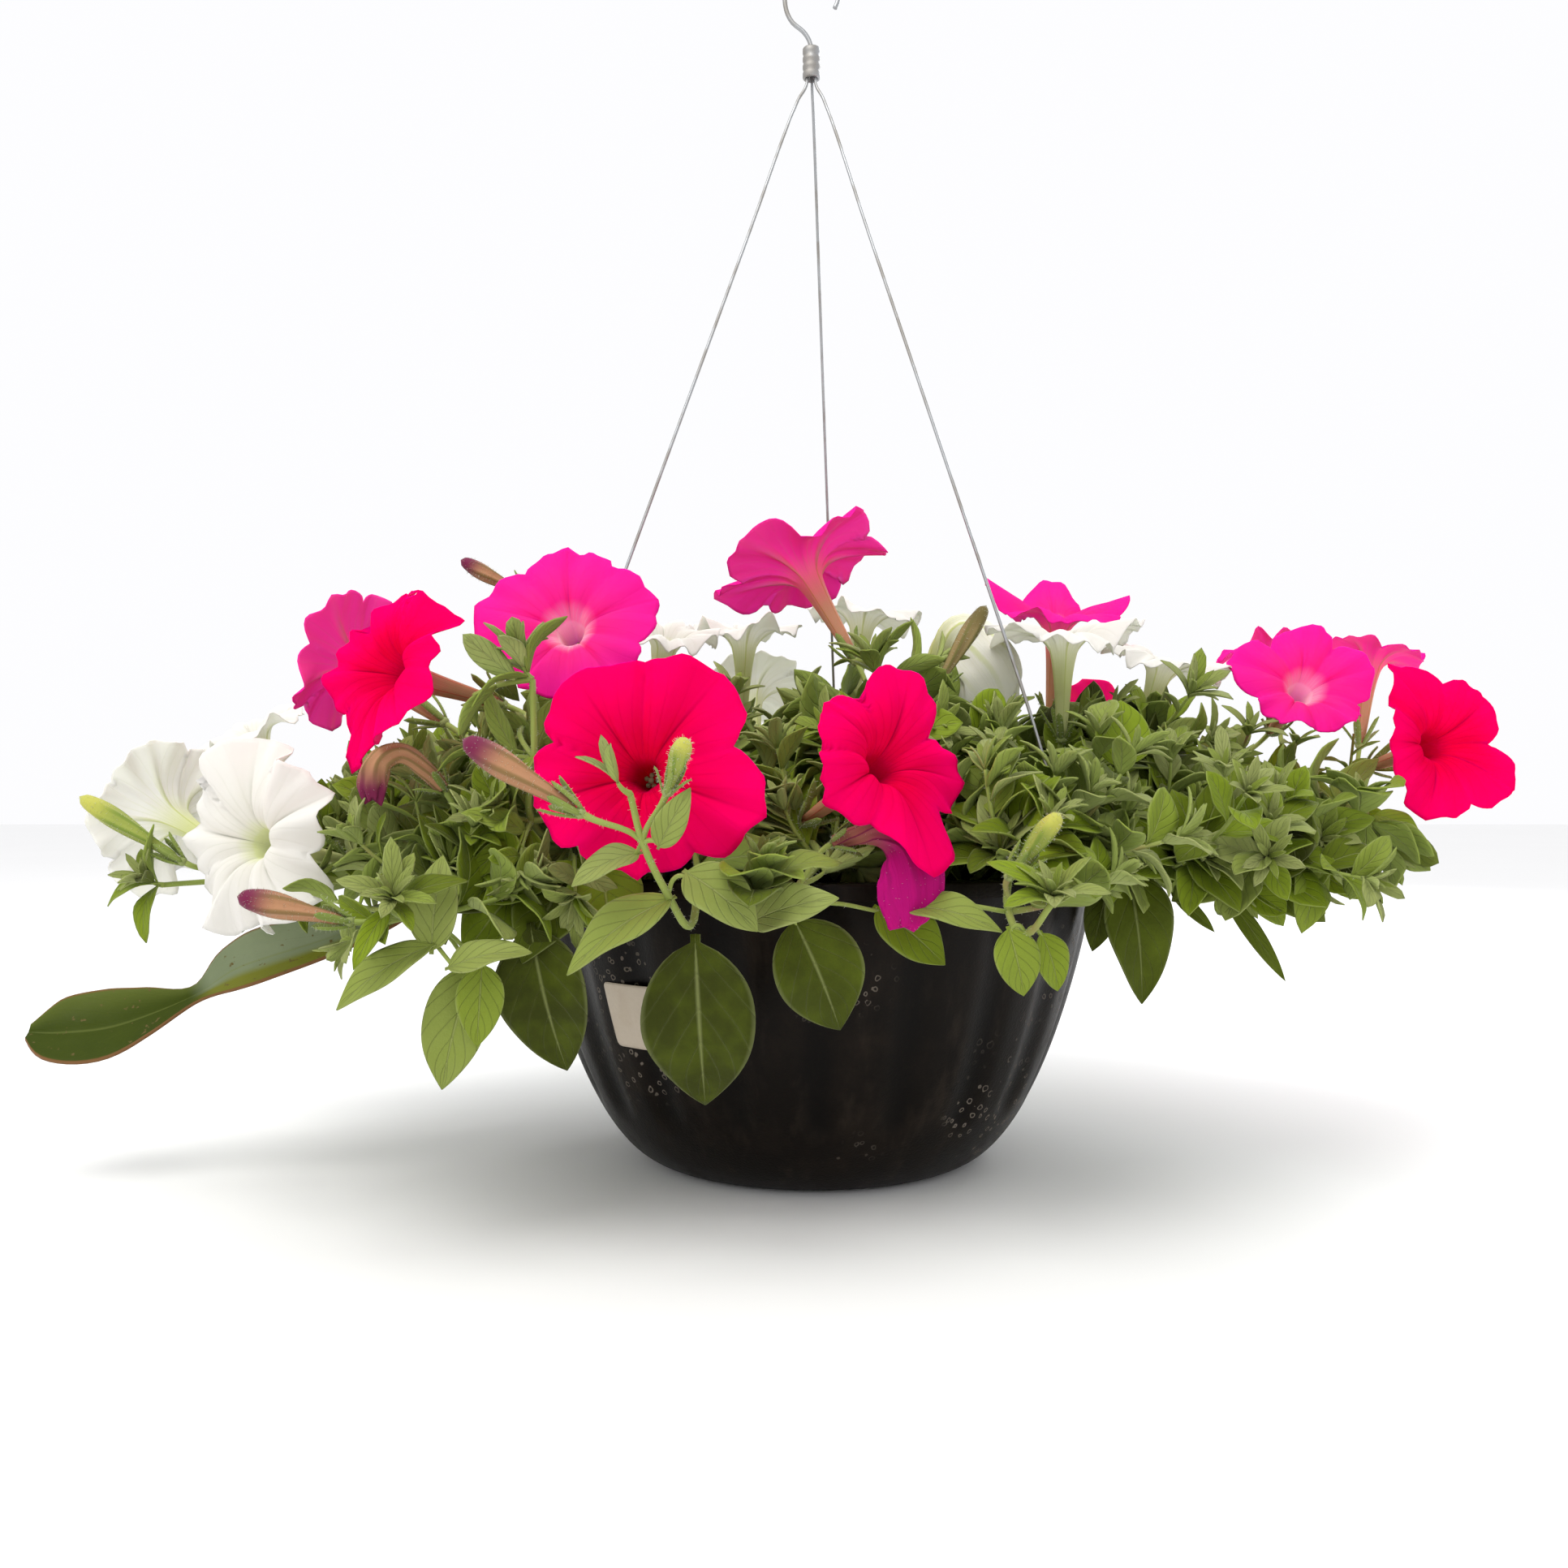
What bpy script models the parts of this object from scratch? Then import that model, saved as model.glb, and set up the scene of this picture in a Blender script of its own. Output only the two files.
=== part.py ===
"""A trailing petunia in a 12 inch ribbed plastic hanging basket with a three-wire hanger.

Metres, +Z up. The origin is the centre of the basket's flat base, and -Y is the front.
"""

import math

import bmesh
import bpy
from mathutils import Matrix, Vector
from mathutils.bvhtree import BVHTree

# Basket
WALL_HEIGHT = 0.140
BASKET_HEIGHT = 0.148
BASE_RADIUS = 0.075
WALL_TOP_RADIUS = 0.1435
RIM_RADIUS = 0.1528
SKIRT_BOTTOM = 0.1407
WALL = 0.0015
BASE_THICKNESS = 0.002
FLUTES = 20
FLUTE_DEPTH = 0.0018
FLUTE_START, FLUTE_FULL = 0.030, 0.042
STEPS_PER_FLUTE = 3
BASKET_STEPS = STEPS_PER_FLUTE * FLUTES
OUTSIDE_RINGS, INSIDE_RINGS = 6, 4
DRAIN_HOLES, DRAIN_RADIUS, DRAIN_CIRCLE = 6, 0.004, 0.052
GAP = 0.0004

# Soil and the rooted plugs in it
SOIL_TOP, SOIL_CROWN = 0.128, 0.132
PLUG_TOP_RADIUS, PLUG_BOTTOM_RADIUS, PLUG_DEPTH, PLUG_TOP = 0.024, 0.018, 0.050, 0.1345
PLUGS = {
    "root_ball_front_left": (-0.055, -0.050),
    "root_ball_front_right": (0.060, -0.045),
    "root_ball_back_left": (-0.060, 0.055),
    "root_ball_back_right": (0.055, 0.060),
}

# Hanger: three stiff wires, crimped round the shank of one hook
WIRE_RADIUS = 0.0008
HANGER_HOLE_RADIUS, HANGER_CIRCLE = 0.002, 0.1473
HANGER_ANGLES = {"right": -37.6, "left": -157.6, "back": 82.4}
# Each wire as (radius, height): up through the hole in the rim, out below the skirt, over the rim, to the hook
WIRE_AT_RIM = (
    (0.1473, 0.1535), (0.1473, 0.1420), (0.1490, 0.1388), (0.1535, 0.1376),
    (0.1585, 0.1395), (0.1595, 0.1440), (0.1575, 0.1500), (0.1500, 0.1610),
)
WIRE_AT_HOOK = ((0.0075, 0.5440), (0.0030, 0.5520), (0.0023, 0.5570), (0.0023, 0.5700))
FERRULE_BOTTOM, FERRULE_TOP = 0.556, 0.572
FERRULE_BORE, FERRULE_RADIUS = 0.0034, 0.0046
HOOK_WIRE_RADIUS, HOOK_BEND, HOOK_RISE = 0.0012, 0.014, 0.028

# Label, wrapped on the wall
LABEL_SIZE, LABEL_THICKNESS = (0.057, 0.030), 0.0003
LABEL_ANGLE, LABEL_HEIGHT = -122.7, 0.085

# Plant
STEM_RADIUS, STALK_RADIUS = 0.0019, 0.0011
NODE_LENGTH = 0.004
LEAF_THICKNESS = 0.0010
LEAF_WIDTH_TO_LENGTH, LEAF_ARCH = 0.56, 0.08
# Share of a leaf's length from its foot, with the share of its greatest width there
LEAF_OUTLINE = ((0.10, 0.10), (0.30, 0.80), (0.60, 0.92), (1.0, 0.05))
LONGEST_FILL_LEAF, FILL_LEAF_STEP = 0.052, 0.005
LOWEST_LEAF_TIP = 0.020
CLEARANCE = 0.0008
BROAD_LEAF_HALF_THICKNESS = 0.0012
LOBES = 5
LOBE_NOTCH, LOBE_FALL = 0.16, 0.05
PETAL_THICKNESS = 0.0012
LIMB_RISE = 0.011
TUBE_FOOT_RADIUS, THROAT_RADIUS = 0.0030, 0.0095

# Each open flower: middle of the throat, the way it faces, limb radius, tube length
FLOWERS = {
    "flower_red_front": ((-0.069, -0.190, 0.193), (-0.08, -0.98, 0.12), 0.044, 0.052),
    "flower_pink_top_left": ((-0.115, -0.070, 0.261), (-0.05, -0.93, 0.34), 0.042, 0.048),
    "flower_red_left": ((-0.176, -0.140, 0.236), (-0.72, -0.65, 0.22), 0.040, 0.050),
    "flower_pink_left_rear": ((-0.216, -0.062, 0.245), (-0.80, 0.25, 0.50), 0.036, 0.052),
    "flower_red_centre_right": ((0.024, -0.172, 0.196), (0.55, -0.72, 0.42), 0.038, 0.054),
    "flower_pink_top": ((-0.002, -0.020, 0.294), (-0.45, 0.30, 0.84), 0.043, 0.052),
    "flower_pink_right_rear": ((0.140, 0.066, 0.277), (0.05, -0.15, 0.98), 0.039, 0.050),
    "flower_pink_right": ((0.260, 0.015, 0.238), (0.05, -0.90, 0.42), 0.034, 0.046),
    "flower_red_far_right": ((0.302, -0.045, 0.208), (0.25, -0.93, 0.20), 0.038, 0.048),
    "flower_pink_far_right_rear": ((0.322, 0.080, 0.256), (0.15, 0.10, 0.98), 0.030, 0.045),
    "flower_pink_rear_small": ((0.272, 0.104, 0.262), (-0.10, 0.20, 0.97), 0.028, 0.042),
    "flower_white_left": ((-0.239, -0.130, 0.164), (-0.50, -0.84, 0.20), 0.041, 0.048),
    "flower_white_far_left": ((-0.314, -0.040, 0.172), (-0.75, 0.55, 0.30), 0.038, 0.048),
    "flower_white_left_rear": ((-0.300, 0.032, 0.212), (-0.30, -0.30, 0.90), 0.030, 0.044),
    "flower_white_centre_rear": ((-0.037, 0.060, 0.267), (0.02, -0.08, 0.99), 0.032, 0.045),
    "flower_white_top_rear": ((0.030, 0.072, 0.279), (0.10, 0.00, 0.99), 0.034, 0.048),
    "flower_white_right": ((0.125, -0.030, 0.257), (0.00, -0.08, 0.99), 0.038, 0.045),
    "flower_white_right_rear": ((0.189, 0.030, 0.249), (0.30, -0.10, 0.94), 0.034, 0.043),
    "flower_white_behind": ((-0.078, 0.018, 0.262), (0.20, -0.30, 0.93), 0.030, 0.044),
    "flower_pink_back_left": ((-0.130, 0.190, 0.215), (-0.35, 0.85, 0.40), 0.040, 0.050),
    "flower_white_back": ((-0.035, 0.168, 0.243), (-0.10, 0.55, 0.83), 0.038, 0.048),
    "flower_white_back_right": ((0.075, 0.232, 0.195), (0.10, 0.93, 0.35), 0.040, 0.048),
    "flower_red_back_right": ((0.185, 0.165, 0.215), (0.55, 0.70, 0.45), 0.039, 0.050),
}

# Each closed or fading flower bud: base, tip, greatest radius
BUDS = {
    "bud_pink_top_left": ((-0.144, -0.020, 0.284), (-0.178, -0.020, 0.303), 0.0042),
    "bud_red_low_left": ((-0.183, -0.190, 0.136), (-0.226, -0.192, 0.146), 0.0052),
    "bud_red_left": ((-0.089, -0.222, 0.179), (-0.132, -0.222, 0.206), 0.0055),
    "bud_olive_top": ((0.059, -0.040, 0.235), (0.086, -0.036, 0.278), 0.0046),
    "bud_green_front": ((-0.056, -0.233, 0.187), (-0.049, -0.240, 0.206), 0.0038),
    "bud_yellow_right": ((0.075, -0.178, 0.153), (0.094, -0.185, 0.178), 0.0044),
    "bud_white_far_left": ((-0.284, -0.104, 0.155), (-0.328, -0.108, 0.184), 0.0046),
}

# Faded flowers: the tube, then the limp limb hanging from it, as points, half widths and half thicknesses
LIMP_FLOWERS = {
    "flower_wilted_front": (
        ((0.006, -0.163, 0.1655), 0.003, 0.003),
        ((0.014, -0.169, 0.1685), 0.004, 0.004),
        ((0.024, -0.176, 0.1700), 0.006, 0.005),
        ((0.033, -0.181, 0.1650), 0.009, 0.005),
        ((0.036, -0.183, 0.1540), 0.013, 0.004),
        ((0.035, -0.183, 0.1420), 0.012, 0.003),
        ((0.033, -0.182, 0.1330), 0.006, 0.002),
    ),
    "flower_white_drooping": (
        ((0.058, 0.012, 0.2290), 0.003, 0.003),
        ((0.062, 0.006, 0.2440), 0.004, 0.004),
        ((0.069, 0.000, 0.2600), 0.007, 0.005),
        ((0.079, -0.005, 0.2640), 0.014, 0.006),
        ((0.088, -0.009, 0.2510), 0.019, 0.005),
        ((0.092, -0.011, 0.2370), 0.017, 0.004),
        ((0.094, -0.012, 0.2250), 0.008, 0.002),
    ),
    "bud_wilted_left": (
        ((-0.1550, -0.152, 0.1870), 0.003, 0.003),
        ((-0.1620, -0.155, 0.1950), 0.0035, 0.0035),
        ((-0.1710, -0.158, 0.2020), 0.004, 0.004),
        ((-0.1790, -0.161, 0.1990), 0.005, 0.003),
        ((-0.1820, -0.162, 0.1900), 0.006, 0.0025),
        ((-0.1820, -0.162, 0.1830), 0.003, 0.0015),
    ),
}

# Each shoot: its joints from the crown to the tip, what it bears at which joint, and the leaves set by hand
SHOOTS = {
    "shoot_front": {
        "route": (
            (-0.050, -0.062, 0.1350), (-0.050, -0.105, 0.1560), (-0.050, -0.155, 0.1545),
            (-0.051, -0.187, 0.1340), (-0.058, -0.208, 0.1480), (-0.066, -0.222, 0.1680),
            (-0.070, -0.228, 0.1860),
        ),
        "bears": ((1, "flower_red_front"), (5, "bud_red_left"), (5, "bud_green_front")),
        "leaves": ((3, (-0.047, -0.168, 0.056)), (3, (-0.100, -0.198, 0.112)), (3, (-0.012, -0.205, 0.122))),
    },
    "shoot_left_tall": {
        "route": (
            (-0.066, -0.058, 0.1350), (-0.085, -0.090, 0.1600), (-0.105, -0.128, 0.1640),
            (-0.119, -0.152, 0.1740), (-0.116, -0.163, 0.2000), (-0.1165, -0.164, 0.2320),
        ),
        "bears": ((2, "flower_pink_left_rear"), (4, "flower_red_left")),
        "leaves": ((2, (-0.103, -0.166, 0.070)), ),
    },
    "shoot_left_low": {
        "route": (
            (-0.071, -0.046, 0.1350), (-0.102, -0.074, 0.1560), (-0.136, -0.112, 0.1580),
            (-0.153, -0.148, 0.1460), (-0.161, -0.175, 0.1370), (-0.166, -0.195, 0.1420),
            (-0.168, -0.203, 0.1540),
        ),
        "bears": ((3, "bud_wilted_left"), (4, "bud_red_low_left")),
        "leaves": ((3, (-0.153, -0.176, 0.066)), (4, (-0.199, -0.190, 0.110))),
    },
    "shoot_far_left": {
        "route": (
            (-0.076, 0.042, 0.1350), (-0.120, 0.030, 0.1640), (-0.170, 0.000, 0.1720),
            (-0.208, -0.040, 0.1620), (-0.240, -0.068, 0.1520), (-0.268, -0.088, 0.1460),
            (-0.294, -0.100, 0.1440),
        ),
        "bears": ((3, "flower_white_left"), (4, "flower_white_far_left"), (5, "bud_white_far_left")),
        "leaves": (),
    },
    "shoot_left_rear": {
        "route": (
            (-0.068, 0.064, 0.1350), (-0.118, 0.082, 0.1720), (-0.180, 0.075, 0.1880),
            (-0.235, 0.058, 0.1820), (-0.272, 0.052, 0.1640), (-0.290, 0.056, 0.1500),
        ),
        "bears": ((3, "flower_white_left_rear"), ),
        "leaves": (),
    },
    "shoot_top_left": {
        "route": (
            (-0.058, -0.036, 0.1350), (-0.082, -0.026, 0.1720), (-0.104, -0.008, 0.2020),
            (-0.120, 0.006, 0.2260), (-0.128, 0.012, 0.2420),
        ),
        "bears": ((2, "flower_pink_top_left"), (3, "bud_pink_top_left")),
        "leaves": (),
    },
    "shoot_top_centre": {
        "route": (
            (0.048, -0.042, 0.1350), (0.040, -0.052, 0.1700), (0.030, -0.060, 0.2020),
            (0.030, -0.066, 0.2220), (0.030, -0.070, 0.2400),
        ),
        "bears": ((2, "flower_pink_top"), (1, "bud_olive_top")),
        "leaves": (),
    },
    "shoot_front_right": {
        "route": (
            (0.048, -0.060, 0.1350), (0.030, -0.092, 0.1600), (0.004, -0.132, 0.1560),
            (-0.008, -0.168, 0.1490), (-0.016, -0.184, 0.1400), (-0.026, -0.194, 0.1440),
        ),
        "bears": ((1, "flower_red_centre_right"), (3, "flower_wilted_front")),
        "leaves": ((4, (0.011, -0.172, 0.088)), (3, (0.046, -0.150, 0.153))),
    },
    "shoot_right_low": {
        "route": (
            (0.070, -0.058, 0.1350), (0.084, -0.098, 0.1590), (0.081, -0.142, 0.1560),
            (0.076, -0.170, 0.1380), (0.080, -0.188, 0.1310), (0.088, -0.200, 0.1440),
        ),
        "bears": ((3, "bud_yellow_right"), ),
        "leaves": ((3, (0.088, -0.182, 0.098)), (4, (0.111, -0.186, 0.100)), (3, (0.045, -0.182, 0.108))),
    },
    "shoot_right_trailing": {
        "route": (
            (0.080, -0.040, 0.1350), (0.106, -0.048, 0.1560), (0.136, -0.060, 0.1560),
            (0.164, -0.062, 0.1480), (0.205, -0.062, 0.1520), (0.235, -0.060, 0.1620),
            (0.262, -0.056, 0.1740),
        ),
        "bears": (),
        "leaves": ((3, (0.155, -0.084, 0.087)), (4, (0.236, -0.070, 0.098)), (5, (0.258, -0.090, 0.135))),
    },
    "shoot_far_right": {
        "route": (
            (0.070, 0.052, 0.1350), (0.110, 0.052, 0.1680), (0.160, 0.048, 0.1820),
            (0.212, 0.044, 0.1800), (0.252, 0.038, 0.1760), (0.285, 0.030, 0.1700),
            (0.310, 0.020, 0.1660),
        ),
        "bears": (
            (3, "flower_pink_right"), (5, "flower_red_far_right"),
            (4, "flower_pink_rear_small"), (5, "flower_pink_far_right_rear"),
        ),
        "leaves": (),
    },
    "shoot_right_top": {
        "route": (
            (0.064, 0.048, 0.1350), (0.086, 0.030, 0.1680), (0.112, 0.012, 0.1860),
            (0.140, 0.008, 0.1960), (0.158, 0.004, 0.2040),
        ),
        "bears": (
            (2, "flower_white_right"), (3, "flower_white_right_rear"),
            (1, "flower_white_drooping"), (2, "flower_pink_right_rear"),
        ),
        "leaves": (),
    },
    "shoot_back_left": {
        "route": (
            (-0.052, 0.070, 0.1350), (-0.062, 0.100, 0.1650), (-0.084, 0.150, 0.1720),
            (-0.104, 0.192, 0.1560), (-0.116, 0.222, 0.1320), (-0.122, 0.240, 0.1080),
        ),
        "bears": (
            (1, "flower_white_behind"), (1, "flower_white_centre_rear"),
            (3, "flower_pink_back_left"), (2, "flower_white_back"),
        ),
        "leaves": (),
    },
    "shoot_back_right": {
        "route": (
            (0.050, 0.076, 0.1350), (0.062, 0.110, 0.1660), (0.084, 0.152, 0.1700),
            (0.106, 0.190, 0.1540), (0.120, 0.222, 0.1300), (0.128, 0.242, 0.1080),
        ),
        "bears": (
            (1, "flower_white_top_rear"), (3, "flower_white_back_right"), (2, "flower_red_back_right"),
        ),
        "leaves": (),
    },
}

# The broad fleshy leaf that reaches out on the left, from its stalk to its tip, with half widths
BROAD_LEAF = (
    ((-0.154, 0.006, 0.155), 0.002), ((-0.178, -0.018, 0.143), 0.003), ((-0.210, -0.038, 0.124), 0.008),
    ((-0.240, -0.046, 0.113), 0.013), ((-0.266, -0.052, 0.105), 0.016), ((-0.281, -0.054, 0.099), 0.013),
    ((-0.297, -0.056, 0.088), 0.005), ((-0.318, -0.058, 0.079), 0.014), ((-0.338, -0.061, 0.073), 0.020),
    ((-0.360, -0.063, 0.071), 0.017), ((-0.374, -0.063, 0.071), 0.004),
)

BLACK_PLASTIC, PEAT, ROOT = (0.012, 0.010, 0.010), (0.035, 0.020, 0.012), (0.11, 0.075, 0.045)
PAPER, ZINC = (0.80, 0.78, 0.72), (0.55, 0.56, 0.57)
PINK, RED, WHITE = (0.85, 0.02, 0.30), (0.80, 0.00, 0.09), (0.85, 0.86, 0.80)
MAGENTA, LEAF_GREEN, WAXY_GREEN = (0.36, 0.01, 0.14), (0.10, 0.19, 0.06), (0.10, 0.14, 0.03)

taken = []


def painted(obj, colour, roughness, metallic=0.0):
    material = bpy.data.materials.new(obj.name)
    material.use_nodes = True
    shader = material.node_tree.nodes["Principled BSDF"]
    shader.inputs["Base Color"].default_value = (*colour, 1)
    shader.inputs["Roughness"].default_value = roughness
    shader.inputs["Metallic"].default_value = metallic
    obj.data.materials.append(material)
    return obj


def added(name, bm):
    """The bmesh as an object, with its faces outward and its solid marked as taken space."""
    bmesh.ops.recalc_face_normals(bm, faces=bm.faces)
    mesh = bpy.data.meshes.new(name)
    bm.to_mesh(mesh)
    taken.append(BVHTree.FromBMesh(bm))
    bm.free()
    obj = bpy.data.objects.new(name, mesh)
    bpy.context.scene.collection.objects.link(obj)
    return obj


def turned(outline, steps):
    """A bmesh of an outline of (radius, height), closed on the axis or on itself, turned about Z."""
    bm = bmesh.new()
    points = [bm.verts.new((radius, 0, height)) for radius, height in outline]
    edges = [bm.edges.new(pair) for pair in zip(points, points[1:])]
    if outline[0][0] > 0:
        edges.append(bm.edges.new((points[-1], points[0])))
    bmesh.ops.spin(
        bm, geom=points + edges, axis=(0, 0, 1), cent=(0, 0, 0), angle=math.tau, steps=steps, use_merge=True
    )
    bmesh.ops.remove_doubles(bm, verts=bm.verts, dist=1e-6)
    return bm


def cut(obj, *cutters):
    for cutter in cutters:
        cutter.hide_render = True
        cutter.display_type = "WIRE"
        modifier = obj.modifiers.new(cutter.name, "BOOLEAN")
        modifier.object = cutter
        modifier.operation = "DIFFERENCE"
        modifier.solver = "EXACT"


def rod(name, radius, low, high, centre):
    """A plain upright cylinder, used as a cutter."""
    bm = bmesh.new()
    bmesh.ops.create_cone(
        bm, cap_ends=True, segments=12, radius1=radius, radius2=radius, depth=high - low,
        matrix=Matrix.Translation((*centre, (low + high) / 2)),
    )
    obj = added(name, bm)
    taken.pop()
    return obj


def on_circle(radius, degrees):
    angle = math.radians(degrees)
    return radius * math.cos(angle), radius * math.sin(angle)


# Basket, soil and root balls


def wall_radius(height):
    """Outer radius of the bowl: an ellipse-like curve from the flat base to under the rim."""
    rise = min(max(height / WALL_HEIGHT, 0), 1)
    return BASE_RADIUS + (WALL_TOP_RADIUS - BASE_RADIUS) * math.sqrt(1 - (1 - rise) ** 1.2)


def wall_heights(low, count):
    """Heights up the wall, closer together near the base, where it curves most."""
    return [low + (WALL_HEIGHT - low) * (i / count) ** 1.7 for i in range(count + 1)]


def flute(angle, height):
    """How far the wall is pressed in at this angle: 20 upright grooves that run out above the base."""
    step = round(math.degrees(angle) / 360 * BASKET_STEPS)
    fade = min(max((height - FLUTE_START) / (FLUTE_FULL - FLUTE_START), 0), 1)
    return FLUTE_DEPTH * fade if step % STEPS_PER_FLUTE == 0 else 0.0


def basket():
    outside = [(wall_radius(z), z) for z in wall_heights(0, OUTSIDE_RINGS)]
    inside = [(wall_radius(z) - WALL, z) for z in reversed(wall_heights(BASE_THICKNESS, INSIDE_RINGS))]
    rim_under = BASKET_HEIGHT - WALL
    rim = [
        (WALL_TOP_RADIUS, rim_under), (RIM_RADIUS - WALL, rim_under), (RIM_RADIUS - WALL, SKIRT_BOTTOM),
        (RIM_RADIUS, SKIRT_BOTTOM), (RIM_RADIUS, BASKET_HEIGHT), (WALL_TOP_RADIUS - WALL, BASKET_HEIGHT),
    ]
    bm = turned([(0, 0)] + outside + rim + inside + [(0, BASE_THICKNESS)], BASKET_STEPS)
    for point in bm.verts:
        radius = math.hypot(point.co.x, point.co.y)
        if radius < WALL_TOP_RADIUS - 1e-5 and point.co.z < WALL_HEIGHT - 1e-5 and radius > BASE_RADIUS:
            scale = 1 - flute(math.atan2(point.co.y, point.co.x), point.co.z) / radius
            point.co.x *= scale
            point.co.y *= scale
    pot = painted(added("pot_bowl", bm), BLACK_PLASTIC, 0.42)
    drains = []
    for i in range(DRAIN_HOLES):
        middle = on_circle(DRAIN_CIRCLE, 10 + 360 * i / DRAIN_HOLES)
        drains.append(rod(f"drain_cutter_{i}", DRAIN_RADIUS, -0.002, 0.004, middle))
    holes = [
        rod(f"hanger_cutter_{side}", HANGER_HOLE_RADIUS, 0.143, 0.152, on_circle(HANGER_CIRCLE, angle))
        for side, angle in HANGER_ANGLES.items()
    ]
    cut(pot, *drains, *holes)


def plug_outline(grow):
    """Half outline of a tapered root ball, or of its socket when grown by a gap."""
    bottom = PLUG_TOP - PLUG_DEPTH - grow
    outline = [(0, bottom), (PLUG_BOTTOM_RADIUS + grow, bottom), (PLUG_TOP_RADIUS + grow, PLUG_TOP)]
    if grow:
        outline.append((PLUG_TOP_RADIUS + grow, PLUG_TOP + PLUG_BOTTOM_RADIUS))
    return outline


def soil():
    clear = WALL + FLUTE_DEPTH + 2 * GAP
    floor = BASE_THICKNESS + GAP
    heights = [z for z in wall_heights(BASE_THICKNESS, INSIDE_RINGS)[1:] if z < SOIL_TOP]
    side = [(wall_radius(z) - clear, z) for z in [floor] + heights + [SOIL_TOP]]
    bm = turned([(0, floor)] + side + [(0.085, SOIL_CROWN), (0, SOIL_CROWN)], 40)
    heap = painted(added("potting_soil", bm), PEAT, 0.95)
    taken.pop()
    sockets = []
    for name, (x, y) in PLUGS.items():
        for grow in (0, GAP):
            outline = plug_outline(grow)
            bm = turned(outline + [(0, outline[-1][1])], 14)
            bmesh.ops.translate(bm, verts=bm.verts, vec=(x, y, 0))
            if grow:
                sockets.append(added(f"socket_cutter_{name}", bm))
                taken.pop()
            else:
                painted(added(name, bm), ROOT, 0.95)
    cut(heap, *sockets)


def label():
    """A blank paper label that bridges the grooves of the wall."""
    width, height = LABEL_SIZE
    bm = bmesh.new()
    bmesh.ops.create_grid(bm, x_segments=8, y_segments=3, size=0.5)
    for point in bm.verts:
        across, up = point.co.x, point.co.y
        z = LABEL_HEIGHT + up * height
        radius = wall_radius(z) + GAP
        angle = LABEL_ANGLE + math.degrees(across * width / wall_radius(LABEL_HEIGHT))
        point.co = (*on_circle(radius, angle), z)
    bmesh.ops.recalc_face_normals(bm, faces=bm.faces)
    outward = Vector((*on_circle(1, LABEL_ANGLE), 0))
    if sum((face.normal.dot(outward) for face in bm.faces)) > 0:
        bmesh.ops.reverse_faces(bm, faces=bm.faces)
    bmesh.ops.solidify(bm, geom=bm.faces, thickness=LABEL_THICKNESS)
    painted(added("price_label", bm), PAPER, 0.60)


# Hanger


def wire(name, points, radius, sides=1):
    """A round wire along a smooth line of points, as a bevelled curve with closed ends."""
    data = bpy.data.curves.new(name, "CURVE")
    data.dimensions = "3D"
    data.bevel_depth = radius
    data.bevel_resolution = sides
    data.use_fill_caps = True
    spline = data.splines.new("POLY")
    spline.points.add(len(points) - 1)
    for slot, point in zip(spline.points, points):
        slot.co = (*point, 1)
    obj = bpy.data.objects.new(name, data)
    bpy.context.scene.collection.objects.link(obj)
    line = [Vector(point) for point in points]
    taken.extend(tube_tree(a, b, radius) for a, b in zip(line, line[1:]))
    return painted(obj, ZINC, 0.35, 1.0)


def tube_tree(start, end, radius):
    """The space of one straight stretch of rod, four sided, grown by the clearance."""
    reach = radius + CLEARANCE
    side = (end - start).orthogonal().normalized() * reach * 1.4
    over = (end - start).cross(side).normalized() * reach * 1.4
    corners = [at + way for at in (start, end) for way in (side, over, -side, -over)]
    faces = [(i, (i + 1) % 4, (i + 1) % 4 + 4, i + 4) for i in range(4)]
    return BVHTree.FromPolygons(corners, faces)


def smooth_line(points, spacing):
    """Points along a Catmull-Rom curve through the given points."""
    line = []
    ends = [2 * points[0] - points[1]] + points + [2 * points[-1] - points[-2]]
    for a, b, c, d in zip(ends, ends[1:], ends[2:], ends[3:]):
        count = max(1, round((c - b).length / spacing))
        for i in range(count):
            t = i / count
            square, cube = 2 * a - 5 * b + 4 * c - d, 3 * b - a - 3 * c + d
            line.append(0.5 * (2 * b + (c - a) * t + square * t**2 + cube * t**3))
    return line + [points[-1]]


def hanger():
    for side, degrees in HANGER_ANGLES.items():
        def at(radius, height, degrees=degrees):
            return Vector((*on_circle(radius, degrees), height))

        low = [at(*point) for point in WIRE_AT_RIM]
        high = [at(*point) for point in WIRE_AT_HOOK]
        line = smooth_line(low, 0.0035) + smooth_line(high, 0.0040)
        wire(f"hanger_wire_{side}", line, WIRE_RADIUS)
    bm = turned(
        [
            (FERRULE_BORE, FERRULE_TOP), (FERRULE_BORE, FERRULE_BOTTOM),
            (FERRULE_RADIUS, FERRULE_BOTTOM), (FERRULE_RADIUS, FERRULE_TOP),
        ],
        16,
    )
    painted(added("hanger_ferrule", bm), ZINC, 0.40, 1.0)
    # The shank leaves the ferrule on the axis and swings aside, so that the bend hangs over the axis.
    centre = FERRULE_TOP + HOOK_RISE
    shank = [
        Vector((0, 0, FERRULE_BOTTOM + 0.002)), Vector((0, 0, FERRULE_TOP)),
        Vector((-0.2 * HOOK_BEND, 0, FERRULE_TOP + 0.25 * HOOK_RISE)),
        Vector((-0.8 * HOOK_BEND, 0, FERRULE_TOP + 0.55 * HOOK_RISE)),
    ]
    bend = [
        Vector((-HOOK_BEND * math.cos(turn), 0, centre + HOOK_BEND * math.sin(turn)))
        for turn in [math.radians(30 * i) for i in range(8)]
    ]
    wire("hanger_hook", smooth_line(shank + bend, 0.004), HOOK_WIRE_RADIUS)


# Flowers and buds


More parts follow.
